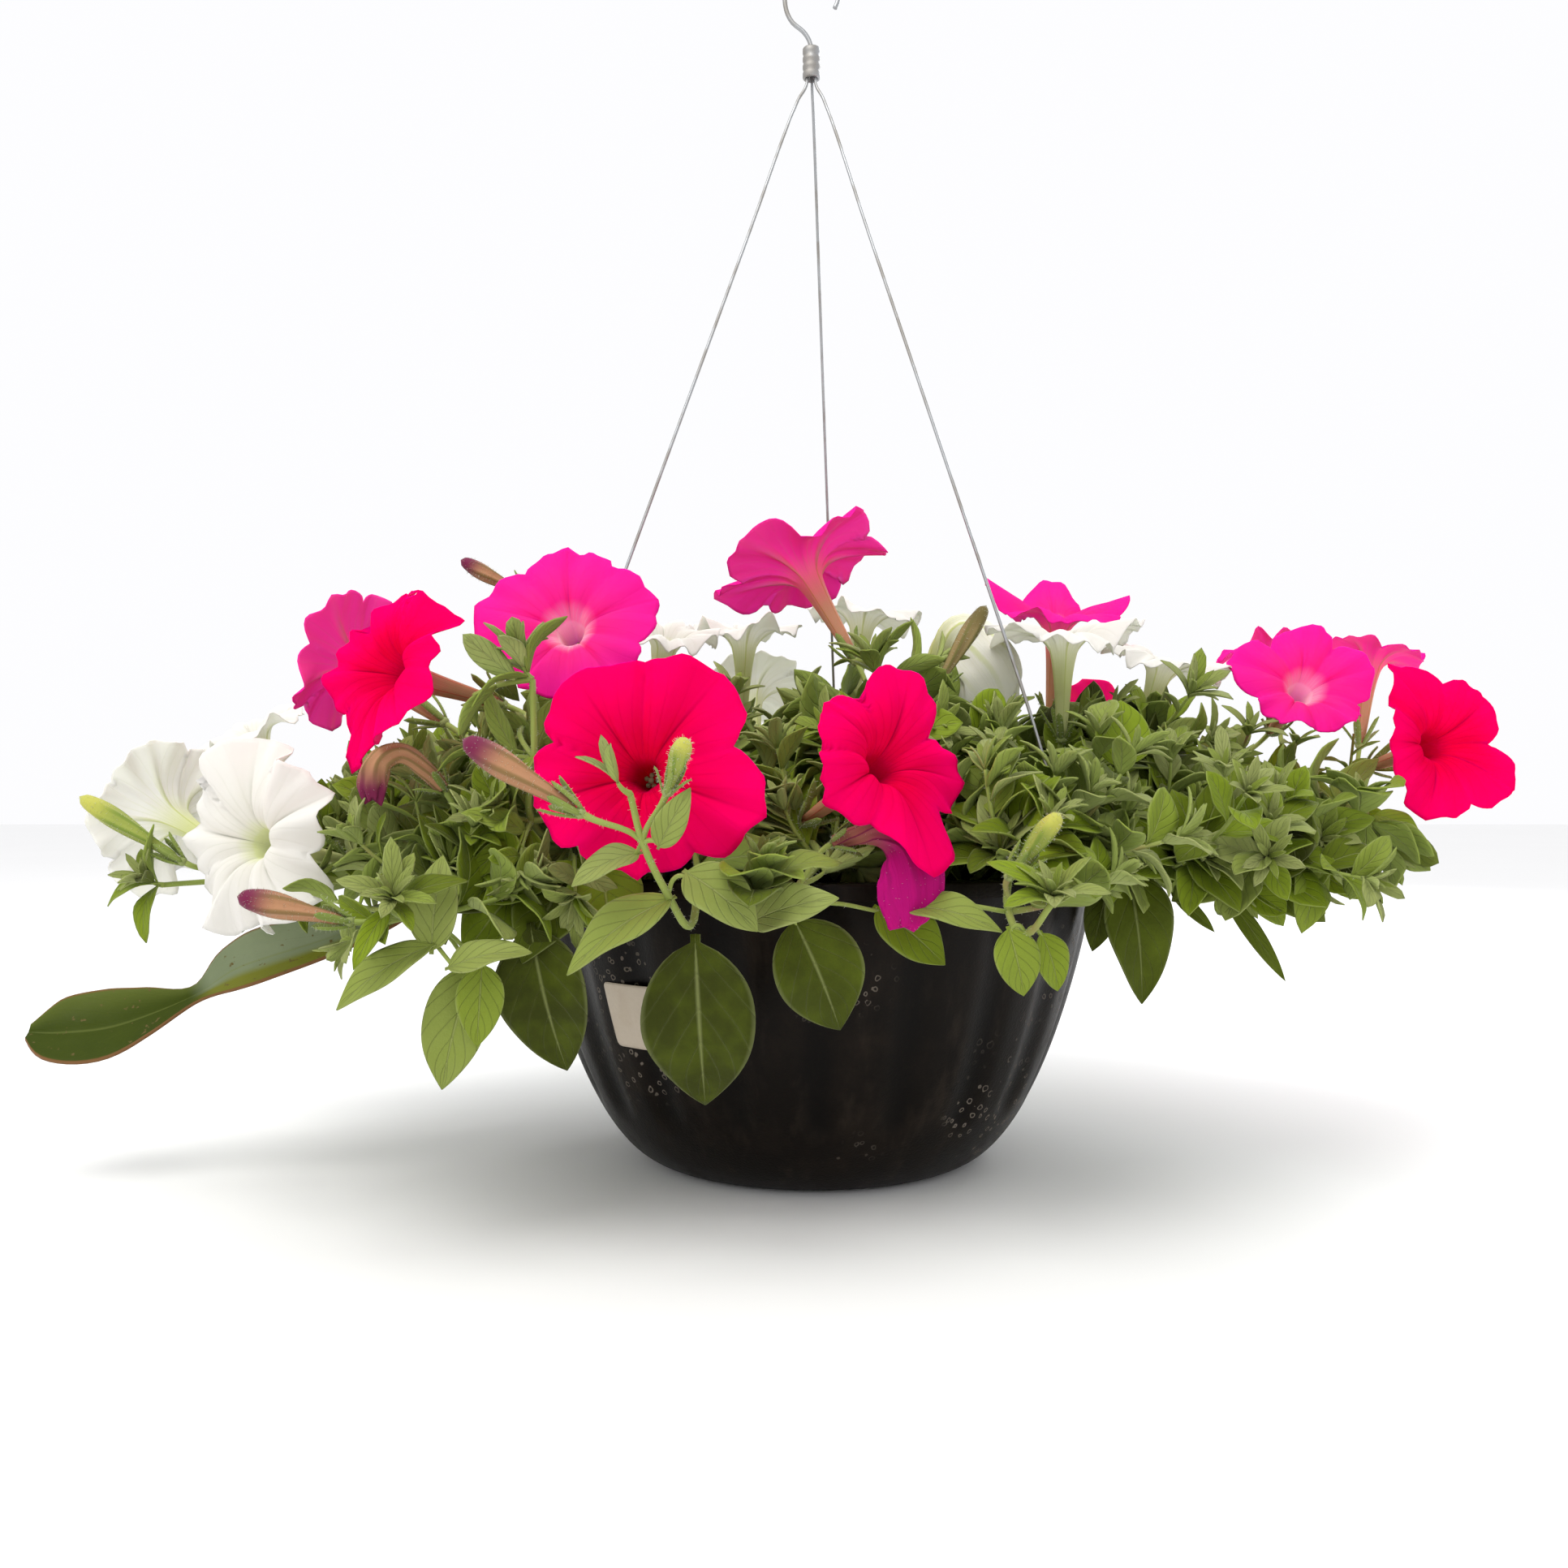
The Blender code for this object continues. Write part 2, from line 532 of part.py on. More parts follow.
def set_on_axis(bm, base, facing):
    """Turns a shape made along +Z to face along an axis, with its foot at base."""
    turn = Vector((0, 0, 1)).rotation_difference(Vector(facing)).to_matrix().to_4x4()
    bmesh.ops.transform(bm, verts=bm.verts, matrix=Matrix.Translation(base) @ turn)


def lobed(bm, limb_radius):
    """Pulls the limb in and lets it fall back between its five lobes."""
    for point in bm.verts:
        radius = math.hypot(point.co.x, point.co.y)
        if radius < 0.3 * limb_radius:
            continue
        turn = math.atan2(point.co.y, point.co.x)
        notch = 0.5 - 0.5 * math.cos(LOBES * turn)
        share = radius / limb_radius
        pull = 1 - LOBE_NOTCH * notch * share**3
        point.co.x *= pull
        point.co.y *= pull
        point.co.z -= LOBE_FALL * limb_radius * notch * share


def trumpet(name, throat, facing, limb, tube):
    """A petunia flower: green calyx, tube widening to the throat, and a flat five-lobed limb."""
    skin = PETAL_THICKNESS
    top = tube + LIMB_RISE
    outside = [
        (0, 0), (TUBE_FOOT_RADIUS, 0), (1.6 * TUBE_FOOT_RADIUS, 0.55 * tube), (THROAT_RADIUS, 0.88 * tube),
    ]
    edge = [(0.55 * limb, top - 0.001 - skin), (limb, top - skin), (limb, top)]
    inside = [(0.55 * limb, top - 0.001), (THROAT_RADIUS - skin / 2, 0.92 * tube), (0, 0.60 * tube)]
    bm = turned(outside + edge + inside, 2 * LOBES)
    lobed(bm, limb)
    facing = Vector(facing).normalized()
    base = Vector(throat) - facing * tube
    set_on_axis(bm, base, facing)
    colour = WHITE if "white" in name else RED if "red" in name else PINK
    painted(added(name, bm), colour, 0.55)
    return base, facing


def bud(name, base, tip, radius):
    length = (Vector(tip) - Vector(base)).length
    outline = [
        (0, 0), (0.6 * radius, 0), (0.8 * radius, 0.2 * length), (0.62 * radius, 0.5 * length),
        (radius, 0.8 * length), (0.7 * radius, 0.93 * length), (0, length),
    ]
    bm = turned(outline, 8)
    facing = (Vector(tip) - Vector(base)).normalized()
    set_on_axis(bm, Vector(base), facing)
    painted(added(name, bm), WHITE if "white" in name else MAGENTA, 0.6)
    return Vector(base), facing


def ring(centre, wide, thick, corners=4):
    """Corners round a centre, counter-clockwise seen against wide x thick, starting between the two."""
    turns = [math.tau * (i + 0.5) / corners for i in range(corners)]
    reach = math.sqrt(2) if corners == 4 else 1
    return [centre + reach * (wide * math.cos(turn) + thick * math.sin(turn)) for turn in turns]


def seat(face, corners):
    """Moves a face's corners to a ring, in the order that twists it least."""
    points = [loop.vert for loop in face.loops]
    middle = sum((point.co for point in points), Vector()) / len(points)
    centre = sum(corners, Vector()) / len(corners)

    def twist(shift):
        turned_ring = corners[shift:] + corners[:shift]
        return sum(((a.co - middle) - (b - centre)).length_squared for a, b in zip(points, turned_ring))

    best = min(range(len(corners)), key=twist)
    for point, corner in zip(points, corners[best:] + corners[:best]):
        point.co = corner


def grown(bm, face, rings):
    """Extrudes a face through a row of rings and returns the end face."""
    for corners in rings:
        face = bmesh.ops.extrude_discrete_faces(bm, faces=[face])["faces"][0]
        seat(face, corners)
    return face


def rod_of(rings):
    """A bmesh that runs through the rings, its end face, and the side faces of each of its stretches."""
    bm = bmesh.new()
    foot = bm.faces.new([bm.verts.new(corner) for corner in rings[0]])
    foot.normal_update()
    if foot.normal.dot(rings[1][0] - rings[0][0]) < 0:
        foot.normal_flip()
    made = bmesh.ops.extrude_face_region(bm, geom=[foot], use_keep_orig=True)["geom"]
    new_faces = [item for item in made if isinstance(item, bmesh.types.BMFace)]
    face = next(item for item in new_faces if len(item.verts) == len(rings[0]))
    seat(face, rings[1])
    stretches = [[side for side in bm.faces if side not in (foot, face)]]
    for corners in rings[2:]:
        known = set(bm.faces)
        face = bmesh.ops.extrude_discrete_faces(bm, faces=[face])["faces"][0]
        seat(face, corners)
        stretches.append([side for side in bm.faces if side not in known and side is not face])
    return bm, face, stretches


def tree_of(rings):
    """The space that a row of rings fills, grown a little for clearance."""
    points = []
    for corners in rings:
        centre = sum(corners, Vector()) / len(corners)
        points += [corner + (corner - centre).normalized() * CLEARANCE for corner in corners]
    size = len(rings[0])
    faces = [
        (row + i, row + (i + 1) % size, row + size + (i + 1) % size, row + size + i)
        for row in range(0, len(points) - size, size)
        for i in range(size)
    ]
    faces += [tuple(range(size)), tuple(range(len(points) - size, len(points)))]
    return BVHTree.FromPolygons(points, faces)


def limp_flower(name, stations):
    points = [Vector(point) for point, _, _ in stations]
    rings = []
    for i, (point, wide, thick) in enumerate(stations):
        along = (points[min(i + 1, len(points) - 1)] - points[max(i - 1, 0)]).normalized()
        across = Vector((0.3, -1, 0)).cross(along).normalized()
        rings.append(ring(Vector(point), across * wide, along.cross(across).normalized() * thick, 8))
    bm, _, _ = rod_of(rings)
    painted(added(name, bm), WHITE if "white" in name else MAGENTA, 0.7)
    return points[0], (points[1] - points[0]).normalized()


# Shoots


def stalk_rings(start, way, end, facing):
    """Rings along a stalk that leaves one way and arrives under a flower along its axis."""
    reach = 0.4 * (end - start).length
    first, second = start + way * reach, end - facing * reach
    rings = []
    last = start
    for t in (0.3, 0.6, 0.85, 1.0):
        s = 1 - t
        point = s**3 * start + 3 * s * s * t * first + 3 * s * t * t * second + t**3 * end
        along = facing if t == 1 else (point - last).normalized()
        side = along.cross(Vector((0.2, 0.3, 1))).normalized()
        rings.append(ring(point, side * STALK_RADIUS, along.cross(side) * STALK_RADIUS))
        last = point
    return rings


class Shoot:
    """One stem with its joints; each joint is a short stretch whose four sides can bear something."""

    def __init__(self, name, route):
        self.name = name
        joints = [Vector(point) for point in route]
        self.joints = joints
        side = (joints[1] - joints[0]).cross(Vector((0, 0, 1))).normalized()
        rings = []
        for i, joint in enumerate(joints):
            before = joints[max(i - 1, 0)]
            after = joints[min(i + 1, len(joints) - 1)]
            along = (after - before).normalized() if i else Vector((0, 0, 1))
            side = (side - along * side.dot(along)).normalized()
            over = along.cross(side)
            radius = STEM_RADIUS * (1 - 0.07 * i)
            for offset in (-0.5, 0.5):
                centre = joint + along * NODE_LENGTH * (offset + (0.5 if i == 0 else 0))
                rings.append(ring(centre, side * radius, over * radius))
        self.bm, face, stretches = rod_of(rings)
        self.sides = stretches[::2]
        self.sides[-1].append(face)
        taken.extend(tube_tree(a, b, STEM_RADIUS) for a, b in zip(joints, joints[1:]))

    def side_towards(self, joint, target):
        """Takes the free side of a joint that looks most towards a point."""
        for face in self.sides[joint]:
            face.normal_update()
        way = (target - self.joints[joint]).normalized()
        best = max(self.sides[joint], key=lambda face: face.normal.dot(way))
        self.sides[joint].remove(best)
        return best

    def bear(self, joint, base, facing):
        """A stalk from a joint to just under a flower."""
        face = self.side_towards(joint, base)
        start = face.calc_center_median()
        way = (face.normal + Vector((0, 0, 0.6))).normalized()
        end = base - facing * GAP
        rings = stalk_rings(start, way, end, facing)
        grown(self.bm, face, rings)
        middles = [start] + [sum(corners, Vector()) / 4 for corners in rings]
        taken.extend(tube_tree(a, b, STALK_RADIUS) for a, b in zip(middles[:-1], middles[1:-1]))

    def leaf_rings(self, face, tip):
        """Rings of a leaf blade from a side of a joint to a tip, raised in the middle."""
        start = face.calc_center_median()
        reach = tip - start
        length = reach.length
        across = reach.cross(Vector((0, 0, 1)))
        if across.length < 0.4 * length:
            across = reach.cross(Vector((-start.x, -start.y, 0)))
        across.normalize()
        up = reach.cross(across).normalized()
        if up.z < 0 or (up.z < 0.3 and up.dot(Vector((start.x, start.y, 0))) < 0):
            up, across = -up, -across
        half = 0.5 * LEAF_WIDTH_TO_LENGTH * length
        thick = up * LEAF_THICKNESS / 2
        rings = []
        for share, width in LEAF_OUTLINE:
            centre = start + reach * share + up * LEAF_ARCH * length * math.sin(math.pi * share)
            rings.append(ring(centre, across * half * width, thick))
        return rings

    def leaf(self, joint, tip, forced=False):
        """Adds a leaf if its space is free, and says whether it did."""
        face = self.side_towards(joint, tip)
        rings = self.leaf_rings(face, tip)
        space = tree_of(rings[1:])
        if not forced and any(space.overlap(other) for other in taken):
            self.sides[joint].append(face)
            return False
        grown(self.bm, face, rings)
        taken.append(tree_of(rings))
        return True

    def fill(self):
        """Sets a leaf on either side of each joint, trying other angles where the first one is blocked."""
        for i, joint in enumerate(self.joints[1:], 1):
            after = self.joints[min(i + 1, len(self.joints) - 1)]
            along = (after - self.joints[i - 1]).normalized()
            flat = along.cross(Vector((0, 0, 1))).normalized()
            length = LONGEST_FILL_LEAF - FILL_LEAF_STEP * abs(i - 2)
            for sign in (1, -1):
                if len(self.sides[i]) < 2:
                    break
                self.try_leaf(i, joint, along, flat * sign, length)

    def try_leaf(self, i, joint, along, out, length):
        """Sets the first leaf that fits, from full size and level towards smaller and steeper."""
        for size in (1.0, 0.75):
            for lift in (0.25, 0.6, -0.2, 1.0, -0.6):
                for lean in (0.3, 0.8, -0.3):
                    way = (out + along * lean + Vector((0, 0, lift))).normalized()
                    tip = joint + way * length * size
                    if tip.z > LOWEST_LEAF_TIP and self.leaf(i, tip):
                        return


def broad_leaf():
    points = [Vector(point) for point, _ in BROAD_LEAF]
    rings = []
    for i, (point, half) in enumerate(BROAD_LEAF):
        along = (points[min(i + 1, len(points) - 1)] - points[max(i - 1, 0)]).normalized()
        across = along.cross(Vector((0, -0.75, 0.66))).normalized()
        thick = along.cross(across).normalized() * BROAD_LEAF_HALF_THICKNESS
        rings.append(ring(Vector(point), across * half, thick))
    bm, _, _ = rod_of(rings)
    painted(added("leaf_broad_far_left", bm), WAXY_GREEN, 0.4)


def plant():
    heads = {}
    for name, flower in FLOWERS.items():
        heads[name] = trumpet(name, *flower)
    for name, shape in BUDS.items():
        heads[name] = bud(name, *shape)
    for name, stations in LIMP_FLOWERS.items():
        heads[name] = limp_flower(name, stations)
    broad_leaf()
    shoots = []
    for name, plan in SHOOTS.items():
        shoot = Shoot(name, plan["route"])
        for joint, head in plan["bears"]:
            shoot.bear(joint, *heads[head])
        shoots.append(shoot)
    for shoot in shoots:
        for joint, tip in SHOOTS[shoot.name]["leaves"]:
            shoot.leaf(joint, Vector(tip), forced=True)
    for shoot in shoots:
        shoot.fill()
        painted(added(shoot.name, shoot.bm), LEAF_GREEN, 0.6)


for old in list(bpy.data.objects):
    bpy.data.objects.remove(old)
basket()
soil()
label()
hanger()
plant()
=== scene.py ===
"""A trailing petunia in a ribbed hanging basket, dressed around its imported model."""

import math
import random

import bmesh
import bpy
import numpy as np
from mathutils import Matrix, Vector, noise


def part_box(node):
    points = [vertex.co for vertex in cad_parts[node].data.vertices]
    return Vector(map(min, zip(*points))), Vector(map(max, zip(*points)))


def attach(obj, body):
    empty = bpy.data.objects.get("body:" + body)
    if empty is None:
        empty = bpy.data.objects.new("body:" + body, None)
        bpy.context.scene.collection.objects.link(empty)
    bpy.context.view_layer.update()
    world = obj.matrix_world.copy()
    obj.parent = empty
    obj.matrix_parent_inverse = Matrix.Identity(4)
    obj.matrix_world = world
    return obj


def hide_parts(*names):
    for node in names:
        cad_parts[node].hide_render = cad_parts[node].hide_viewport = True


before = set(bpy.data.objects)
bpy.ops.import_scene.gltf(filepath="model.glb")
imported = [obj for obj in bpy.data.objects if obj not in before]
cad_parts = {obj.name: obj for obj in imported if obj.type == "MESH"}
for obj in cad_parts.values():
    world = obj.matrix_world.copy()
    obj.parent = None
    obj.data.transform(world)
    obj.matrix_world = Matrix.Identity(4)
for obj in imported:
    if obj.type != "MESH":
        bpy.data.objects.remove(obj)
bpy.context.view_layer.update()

# Camera, light and floor. The view is level, a little above the rim, close in front of the basket.
# A pale floor runs under it, with one wide soft light over the left shoulder and a weaker one behind.
VIEW_DISTANCE = 0.75
VIEW_HEIGHT = 0.1895
VIEW_OFFSET = -0.0143
LENS = 33.11

camera_data = bpy.data.cameras.new("camera")
camera_data.lens = LENS
camera_data.sensor_width = 36
camera_data.clip_start = 0.01
camera = bpy.data.objects.new("camera", camera_data)
camera.location = (VIEW_OFFSET, -VIEW_DISTANCE, VIEW_HEIGHT)
camera.rotation_euler = (math.radians(90), 0, 0)
bpy.context.scene.collection.objects.link(camera)
bpy.context.scene.camera = camera
bpy.context.scene.view_settings.view_transform = "Standard"


def soft_light(name, place, towards, size, power, colour):
    data = bpy.data.lights.new(name, "AREA")
    data.shape = "DISK"
    data.size = size
    data.energy = power
    data.color = colour
    lamp = bpy.data.objects.new(name, data)
    lamp.location = place
    lamp.rotation_euler = (Vector(towards) - Vector(place)).to_track_quat("-Z", "Y").to_euler()
    bpy.context.scene.collection.objects.link(lamp)


soft_light("light_over", (-0.5, -0.9, 1.7), (0, 0, 0.15), 1.3, 19, (1.0, 0.985, 0.95))
soft_light("light_behind", (0.9, 1.3, 1.2), (0, 0, 0.2), 1.2, 12, (0.96, 0.98, 1.0))

world = bpy.data.worlds.new("studio")
world.use_nodes = True
world.node_tree.nodes["Background"].inputs["Color"].default_value = (0.985, 0.985, 1.0, 1)
world.node_tree.nodes["Background"].inputs["Strength"].default_value = 1.0
bpy.context.scene.world = world


def node(tree, kind, **settings):
    """A shader node with its own settings."""
    made = tree.nodes.new(kind)
    for key, value in settings.items():
        setattr(made, key, value)
    return made


def feed(tree, target, socket, source):
    """Links a node output, or writes a plain value, to an input socket."""
    if isinstance(source, bpy.types.NodeSocket):
        tree.links.new(source, target.inputs[socket])
    else:
        target.inputs[socket].default_value = source


def finish_named(name, roughness=0.6, metallic=0.0, **constants):
    """A new material with its Principled shader and constants set on the shader's own sockets."""
    material = bpy.data.materials.new(name)
    material.use_nodes = True
    tree = material.node_tree
    shader = tree.nodes["Principled BSDF"]
    shader.inputs["Roughness"].default_value = roughness
    shader.inputs["Metallic"].default_value = metallic
    for socket, value in constants.items():
        shader.inputs[socket.replace("_", " ")].default_value = value
    return material, tree, shader


def mathed(tree, operation, first, second=0.0, third=0.0, clamp=False):
    made = node(tree, "ShaderNodeMath", operation=operation, use_clamp=clamp)
    for i, value in enumerate((first, second, third)):
        feed(tree, made, i, value)
    return made.outputs[0]


def times(tree, first, second):
    return mathed(tree, "MULTIPLY", first, second)


def plus(tree, first, second):
    return mathed(tree, "ADD", first, second)


def minus(tree, first, second):
    return mathed(tree, "SUBTRACT", first, second)


def mixed(tree, factor, first, second):
    """Two colours mixed; each is a node's output or three plain numbers."""
    made = node(tree, "ShaderNodeMix", data_type="RGBA")
    feed(tree, made, 0, factor)
    for socket, colour in ((6, first), (7, second)):
        feed(tree, made, socket, colour if isinstance(colour, bpy.types.NodeSocket) else (*colour, 1))
    return made.outputs[2]


def ranged(tree, value, low, high, to_low=0.0, to_high=1.0):
    """A value eased from one range to another."""
    made = node(tree, "ShaderNodeMapRange", interpolation_type="SMOOTHSTEP")
    feed(tree, made, "Value", value)
    for socket, number in zip(("From Min", "From Max", "To Min", "To Max"), (low, high, to_low, to_high)):
        made.inputs[socket].default_value = number
    return made.outputs[0]


def on_object(tree):
    return node(tree, "ShaderNodeTexCoord").outputs["Object"]


def noisy(tree, scale, detail=2.0, vector=None, roughness=0.5):
    """Soft noise on the object's own coordinates."""
    made = node(tree, "ShaderNodeTexNoise")
    made.inputs["Scale"].default_value = scale
    made.inputs["Detail"].default_value = detail
    made.inputs["Roughness"].default_value = roughness
    tree.links.new(vector or on_object(tree), made.inputs["Vector"])
    return made.outputs[0]


def cells(tree, scale, vector=None):
    """A cell pattern's node: its distances make spots, and its colours differ from cell to cell."""
    made = node(tree, "ShaderNodeTexVoronoi")
    made.inputs["Scale"].default_value = scale
    tree.links.new(vector or on_object(tree), made.inputs["Vector"])
    return made


def bumped(tree, shader, height, strength, distance):
    made = node(tree, "ShaderNodeBump")
    made.inputs["Strength"].default_value = strength
    made.inputs["Distance"].default_value = distance
    tree.links.new(height, made.inputs["Height"])
    tree.links.new(made.outputs[0], shader.inputs["Normal"])


def piece_from(name, bm, *materials):
    """A finished smooth-shaded object at the origin, with its materials in order."""
    mesh = bpy.data.meshes.new(name)
    bm.to_mesh(mesh)
    bm.free()
    mesh.shade_smooth()
    for material in materials:
        mesh.materials.append(material)
    obj = bpy.data.objects.new(name, mesh)
    bpy.context.scene.collection.objects.link(obj)
    return obj


floor_material, tree, shader = finish_named("floor_paint", roughness=0.9)
grain = noisy(tree, 3.0)
feed(tree, shader, "Base Color", mixed(tree, grain, (0.92, 0.92, 0.915), (0.94, 0.94, 0.935)))
FLOOR_HALF = 6
bm = bmesh.new()
bmesh.ops.create_grid(bm, x_segments=2, y_segments=2, size=FLOOR_HALF)
floor = piece_from("floor", bm, floor_material)


# Basket: one thin moulded bowl of black plastic, pressed in with twenty upright flutes that run out above
# its flat base, with a turned-down skirt round the rim, three hanger holes and six drain holes.
_, basket_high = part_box("pot_bowl")
BASKET_HEIGHT = basket_high.z
RIM_RADIUS = basket_high.x
WALL_HEIGHT = BASKET_HEIGHT - 0.008
BASE_RADIUS = 0.075
WALL_TOP_RADIUS = 0.1435
SKIRT_BOTTOM = BASKET_HEIGHT - 0.0073
WALL = 0.0015
BASE_WALL = 0.002
EDGE_ROUND = 0.0012
EDGE_EASE = 0.0003
FLUTES = 20
FLUTE_DEPTH = 0.0026
FLUTE_WIDTH = 0.62
FLUTE_FOOT = 0.029
FLUTE_RUN_OUT = 0.011
FLUTE_STEPS = 12
ON_EDGE = 1e-5


def wall_radius(height):
    rise = min(max(height / WALL_HEIGHT, 0), 1)
    return BASE_RADIUS + (WALL_TOP_RADIUS - BASE_RADIUS) * math.sqrt(1 - (1 - rise) ** 1.2)


def turned(outline, steps):
    """A bmesh of an outline of (radius, height) turned about Z, with its poles closed."""
    bm = bmesh.new()
    points = [bm.verts.new((radius, 0, height)) for radius, height in outline]
    edges = [bm.edges.new(pair) for pair in zip(points, points[1:])]
    bmesh.ops.spin(
        bm, geom=points + edges, axis=(0, 0, 1), cent=(0, 0, 0), angle=math.tau, steps=steps, use_merge=True
    )
    bmesh.ops.remove_doubles(bm, verts=bm.verts, dist=1e-6)
    bmesh.ops.recalc_face_normals(bm, faces=bm.faces)
    return bm


def fluted(bm):
    """Presses the grooves into the wall: narrow rounded channels between broad flat ribs."""
    for point in bm.verts:
        radius = math.hypot(point.co.x, point.co.y)
        on_rim = radius > WALL_TOP_RADIUS - ON_EDGE or point.co.z > WALL_HEIGHT - ON_EDGE
        if on_rim or radius < BASE_RADIUS:
            continue
        turn = math.atan2(point.co.y, point.co.x) * FLUTES / math.tau
        across = abs(turn - round(turn)) * 2
        groove = max(0.0, math.cos(math.pi / 2 * min(across / FLUTE_WIDTH, 1))) ** 1.4
        fade = min(max((point.co.z - FLUTE_FOOT) / FLUTE_RUN_OUT, 0), 1)
        scale = 1 - FLUTE_DEPTH * groove * fade * fade * (3 - 2 * fade) / radius
        point.co.x *= scale
        point.co.y *= scale


def wall_line(foot, inset, steps, crowding=1.6, top=WALL_HEIGHT):
    """Points up the wall, set in from its outer face and closer together near its foot."""
    heights = [foot + (top - foot) * (i / steps) ** crowding for i in range(steps + 1)]
    return [(wall_radius(height) - inset, height) for height in heights]


def quarter_round(radius, height, size, count=4):
    turns = [i / count * math.pi / 2 for i in range(count + 1)]
    return [(radius + size * math.cos(turn), height + size * math.sin(turn)) for turn in turns]


rim = (
    [(WALL_TOP_RADIUS, BASKET_HEIGHT - WALL), (RIM_RADIUS - WALL, BASKET_HEIGHT - WALL)]
    + [(RIM_RADIUS - WALL, SKIRT_BOTTOM + EDGE_EASE), (RIM_RADIUS - WALL / 2, SKIRT_BOTTOM)]
    + [(RIM_RADIUS, SKIRT_BOTTOM + EDGE_EASE)]
    + quarter_round(RIM_RADIUS - EDGE_ROUND, BASKET_HEIGHT - EDGE_ROUND, EDGE_ROUND)
    + [(WALL_TOP_RADIUS - WALL + 0.001, BASKET_HEIGHT), (WALL_TOP_RADIUS - WALL, BASKET_HEIGHT - 0.001)]
)
inside = wall_line(BASE_WALL, WALL, 16)
bm = turned([(0, 0)] + wall_line(0, 0, 34) + rim + inside[::-1] + [(0, BASE_WALL)], FLUTES * FLUTE_STEPS)
fluted(bm)

plastic, tree, shader = finish_named("pot_plastic", roughness=0.45, Specular_IOR_Level=0.09)
place = on_object(tree)
stretch = node(tree, "ShaderNodeMapping")
stretch.inputs["Scale"].default_value = (1, 1, 0.16)
tree.links.new(place, stretch.inputs["Vector"])
streaks = ranged(tree, noisy(tree, 60, 4, stretch.outputs[0], 0.65), 0.50, 0.75)
dust = ranged(tree, noisy(tree, 24, 5, None, 0.7), 0.42, 0.80)
# Lime marks: small uneven rings in a few patches, where splashes dried.
drift = node(tree, "ShaderNodeTexNoise")
drift.inputs["Scale"].default_value = 260
tree.links.new(place, drift.inputs["Vector"])
shift = node(tree, "ShaderNodeVectorMath", operation="SCALE")
tree.links.new(drift.outputs["Color"], shift.inputs[0])
shift.inputs["Scale"].default_value = 0.0022
warp = node(tree, "ShaderNodeVectorMath", operation="ADD")
tree.links.new(place, warp.inputs[0])
tree.links.new(shift.outputs[0], warp.inputs[1])
spots = cells(tree, 250, warp.outputs[0])
size_wish = mathed(tree, "MULTIPLY_ADD", spots.outputs["Color"], 0.30, 0.10)
ring = minus(tree, spots.outputs["Distance"], size_wish)
ring = ranged(tree, mathed(tree, "ABSOLUTE", ring), 0.10, 0.02)
patch = ranged(tree, noisy(tree, 15, 1.5), 0.56, 0.68)
chosen = mathed(tree, "GREATER_THAN", spots.outputs["Color"], 0.52)
marks = times(tree, times(tree, ring, chosen), patch)
# Painted shade: a mask of the flute grooves, from just above their foot upwards, used below to darken the
# colour there.
across = node(tree, "ShaderNodeSeparateXYZ")
tree.links.new(place, across.inputs[0])
turn = times(tree, mathed(tree, "ARCTAN2", across.outputs[1], across.outputs[0]), FLUTES / math.tau)
off_groove = mathed(tree, "ABSOLUTE", minus(tree, turn, mathed(tree, "ROUND", turn)))
groove = ranged(tree, off_groove, 0.26, 0.05)
groove = times(tree, groove, ranged(tree, across.outputs[2], 0.028, 0.040))
colour = mixed(tree, dust, (0.0046, 0.0030, 0.0019), (0.013, 0.0085, 0.0056))
colour = mixed(tree, times(tree, streaks, 0.50), colour, (0.028, 0.020, 0.014))
# Painted shade in the flute grooves.
colour = mixed(tree, times(tree, groove, 0.75), colour, (0.0022, 0.0016, 0.0012))
colour = mixed(tree, times(tree, marks, 0.75), colour, (0.20, 0.17, 0.14))
feed(tree, shader, "Base Color", colour)
rough = mathed(tree, "MULTIPLY_ADD", dust, 0.22, 0.36)
feed(tree, shader, "Roughness", mathed(tree, "MULTIPLY_ADD", marks, 0.3, rough))
grit = plus(tree, noisy(tree, 900, 2), times(tree, marks, 0.8))
bumped(tree, shader, grit, 0.35, 0.0004)

pot = piece_from("pot_bowl_moulded", bm, plastic)
pot.data.set_sharp_from_angle(angle=math.radians(45))


HANGER_SIDES = {"right": -37.6, "left": -157.6, "back": 82.4}
HANGER_CIRCLE = 0.1473
HANGER_HOLE = 0.002
DRAIN_CIRCLE = 0.052
DRAIN_HOLE = 0.004
holes = bmesh.new()
places = [(DRAIN_HOLE, -0.002, 0.004, DRAIN_CIRCLE, 10 + 60 * i) for i in range(6)]
places += [(HANGER_HOLE, 0.143, 0.152, HANGER_CIRCLE, angle) for angle in HANGER_SIDES.values()]
for radius, low, high, circle, degrees in places:
    turn = math.radians(degrees)
    bmesh.ops.create_cone(
        holes, cap_ends=True, segments=24, radius1=radius, radius2=radius, depth=high - low,
        matrix=Matrix.Translation((circle * math.cos(turn), circle * math.sin(turn), (low + high) / 2)),
    )
hole_mesh = bpy.data.meshes.new("hole_cutters")
holes.to_mesh(hole_mesh)
holes.free()
cutter = bpy.data.objects.new("hole_cutters", hole_mesh)
bpy.context.scene.collection.objects.link(cutter)
cut = pot.modifiers.new("holes", "BOOLEAN")
cut.object = cutter
cut.operation = "DIFFERENCE"
bpy.context.view_layer.update()
finished = bpy.data.meshes.new_from_object(pot.evaluated_get(bpy.context.evaluated_depsgraph_get()))
pot.modifiers.clear()
pot.data = finished
bpy.data.objects.remove(cutter)
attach(pot, "root")
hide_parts("pot_bowl")


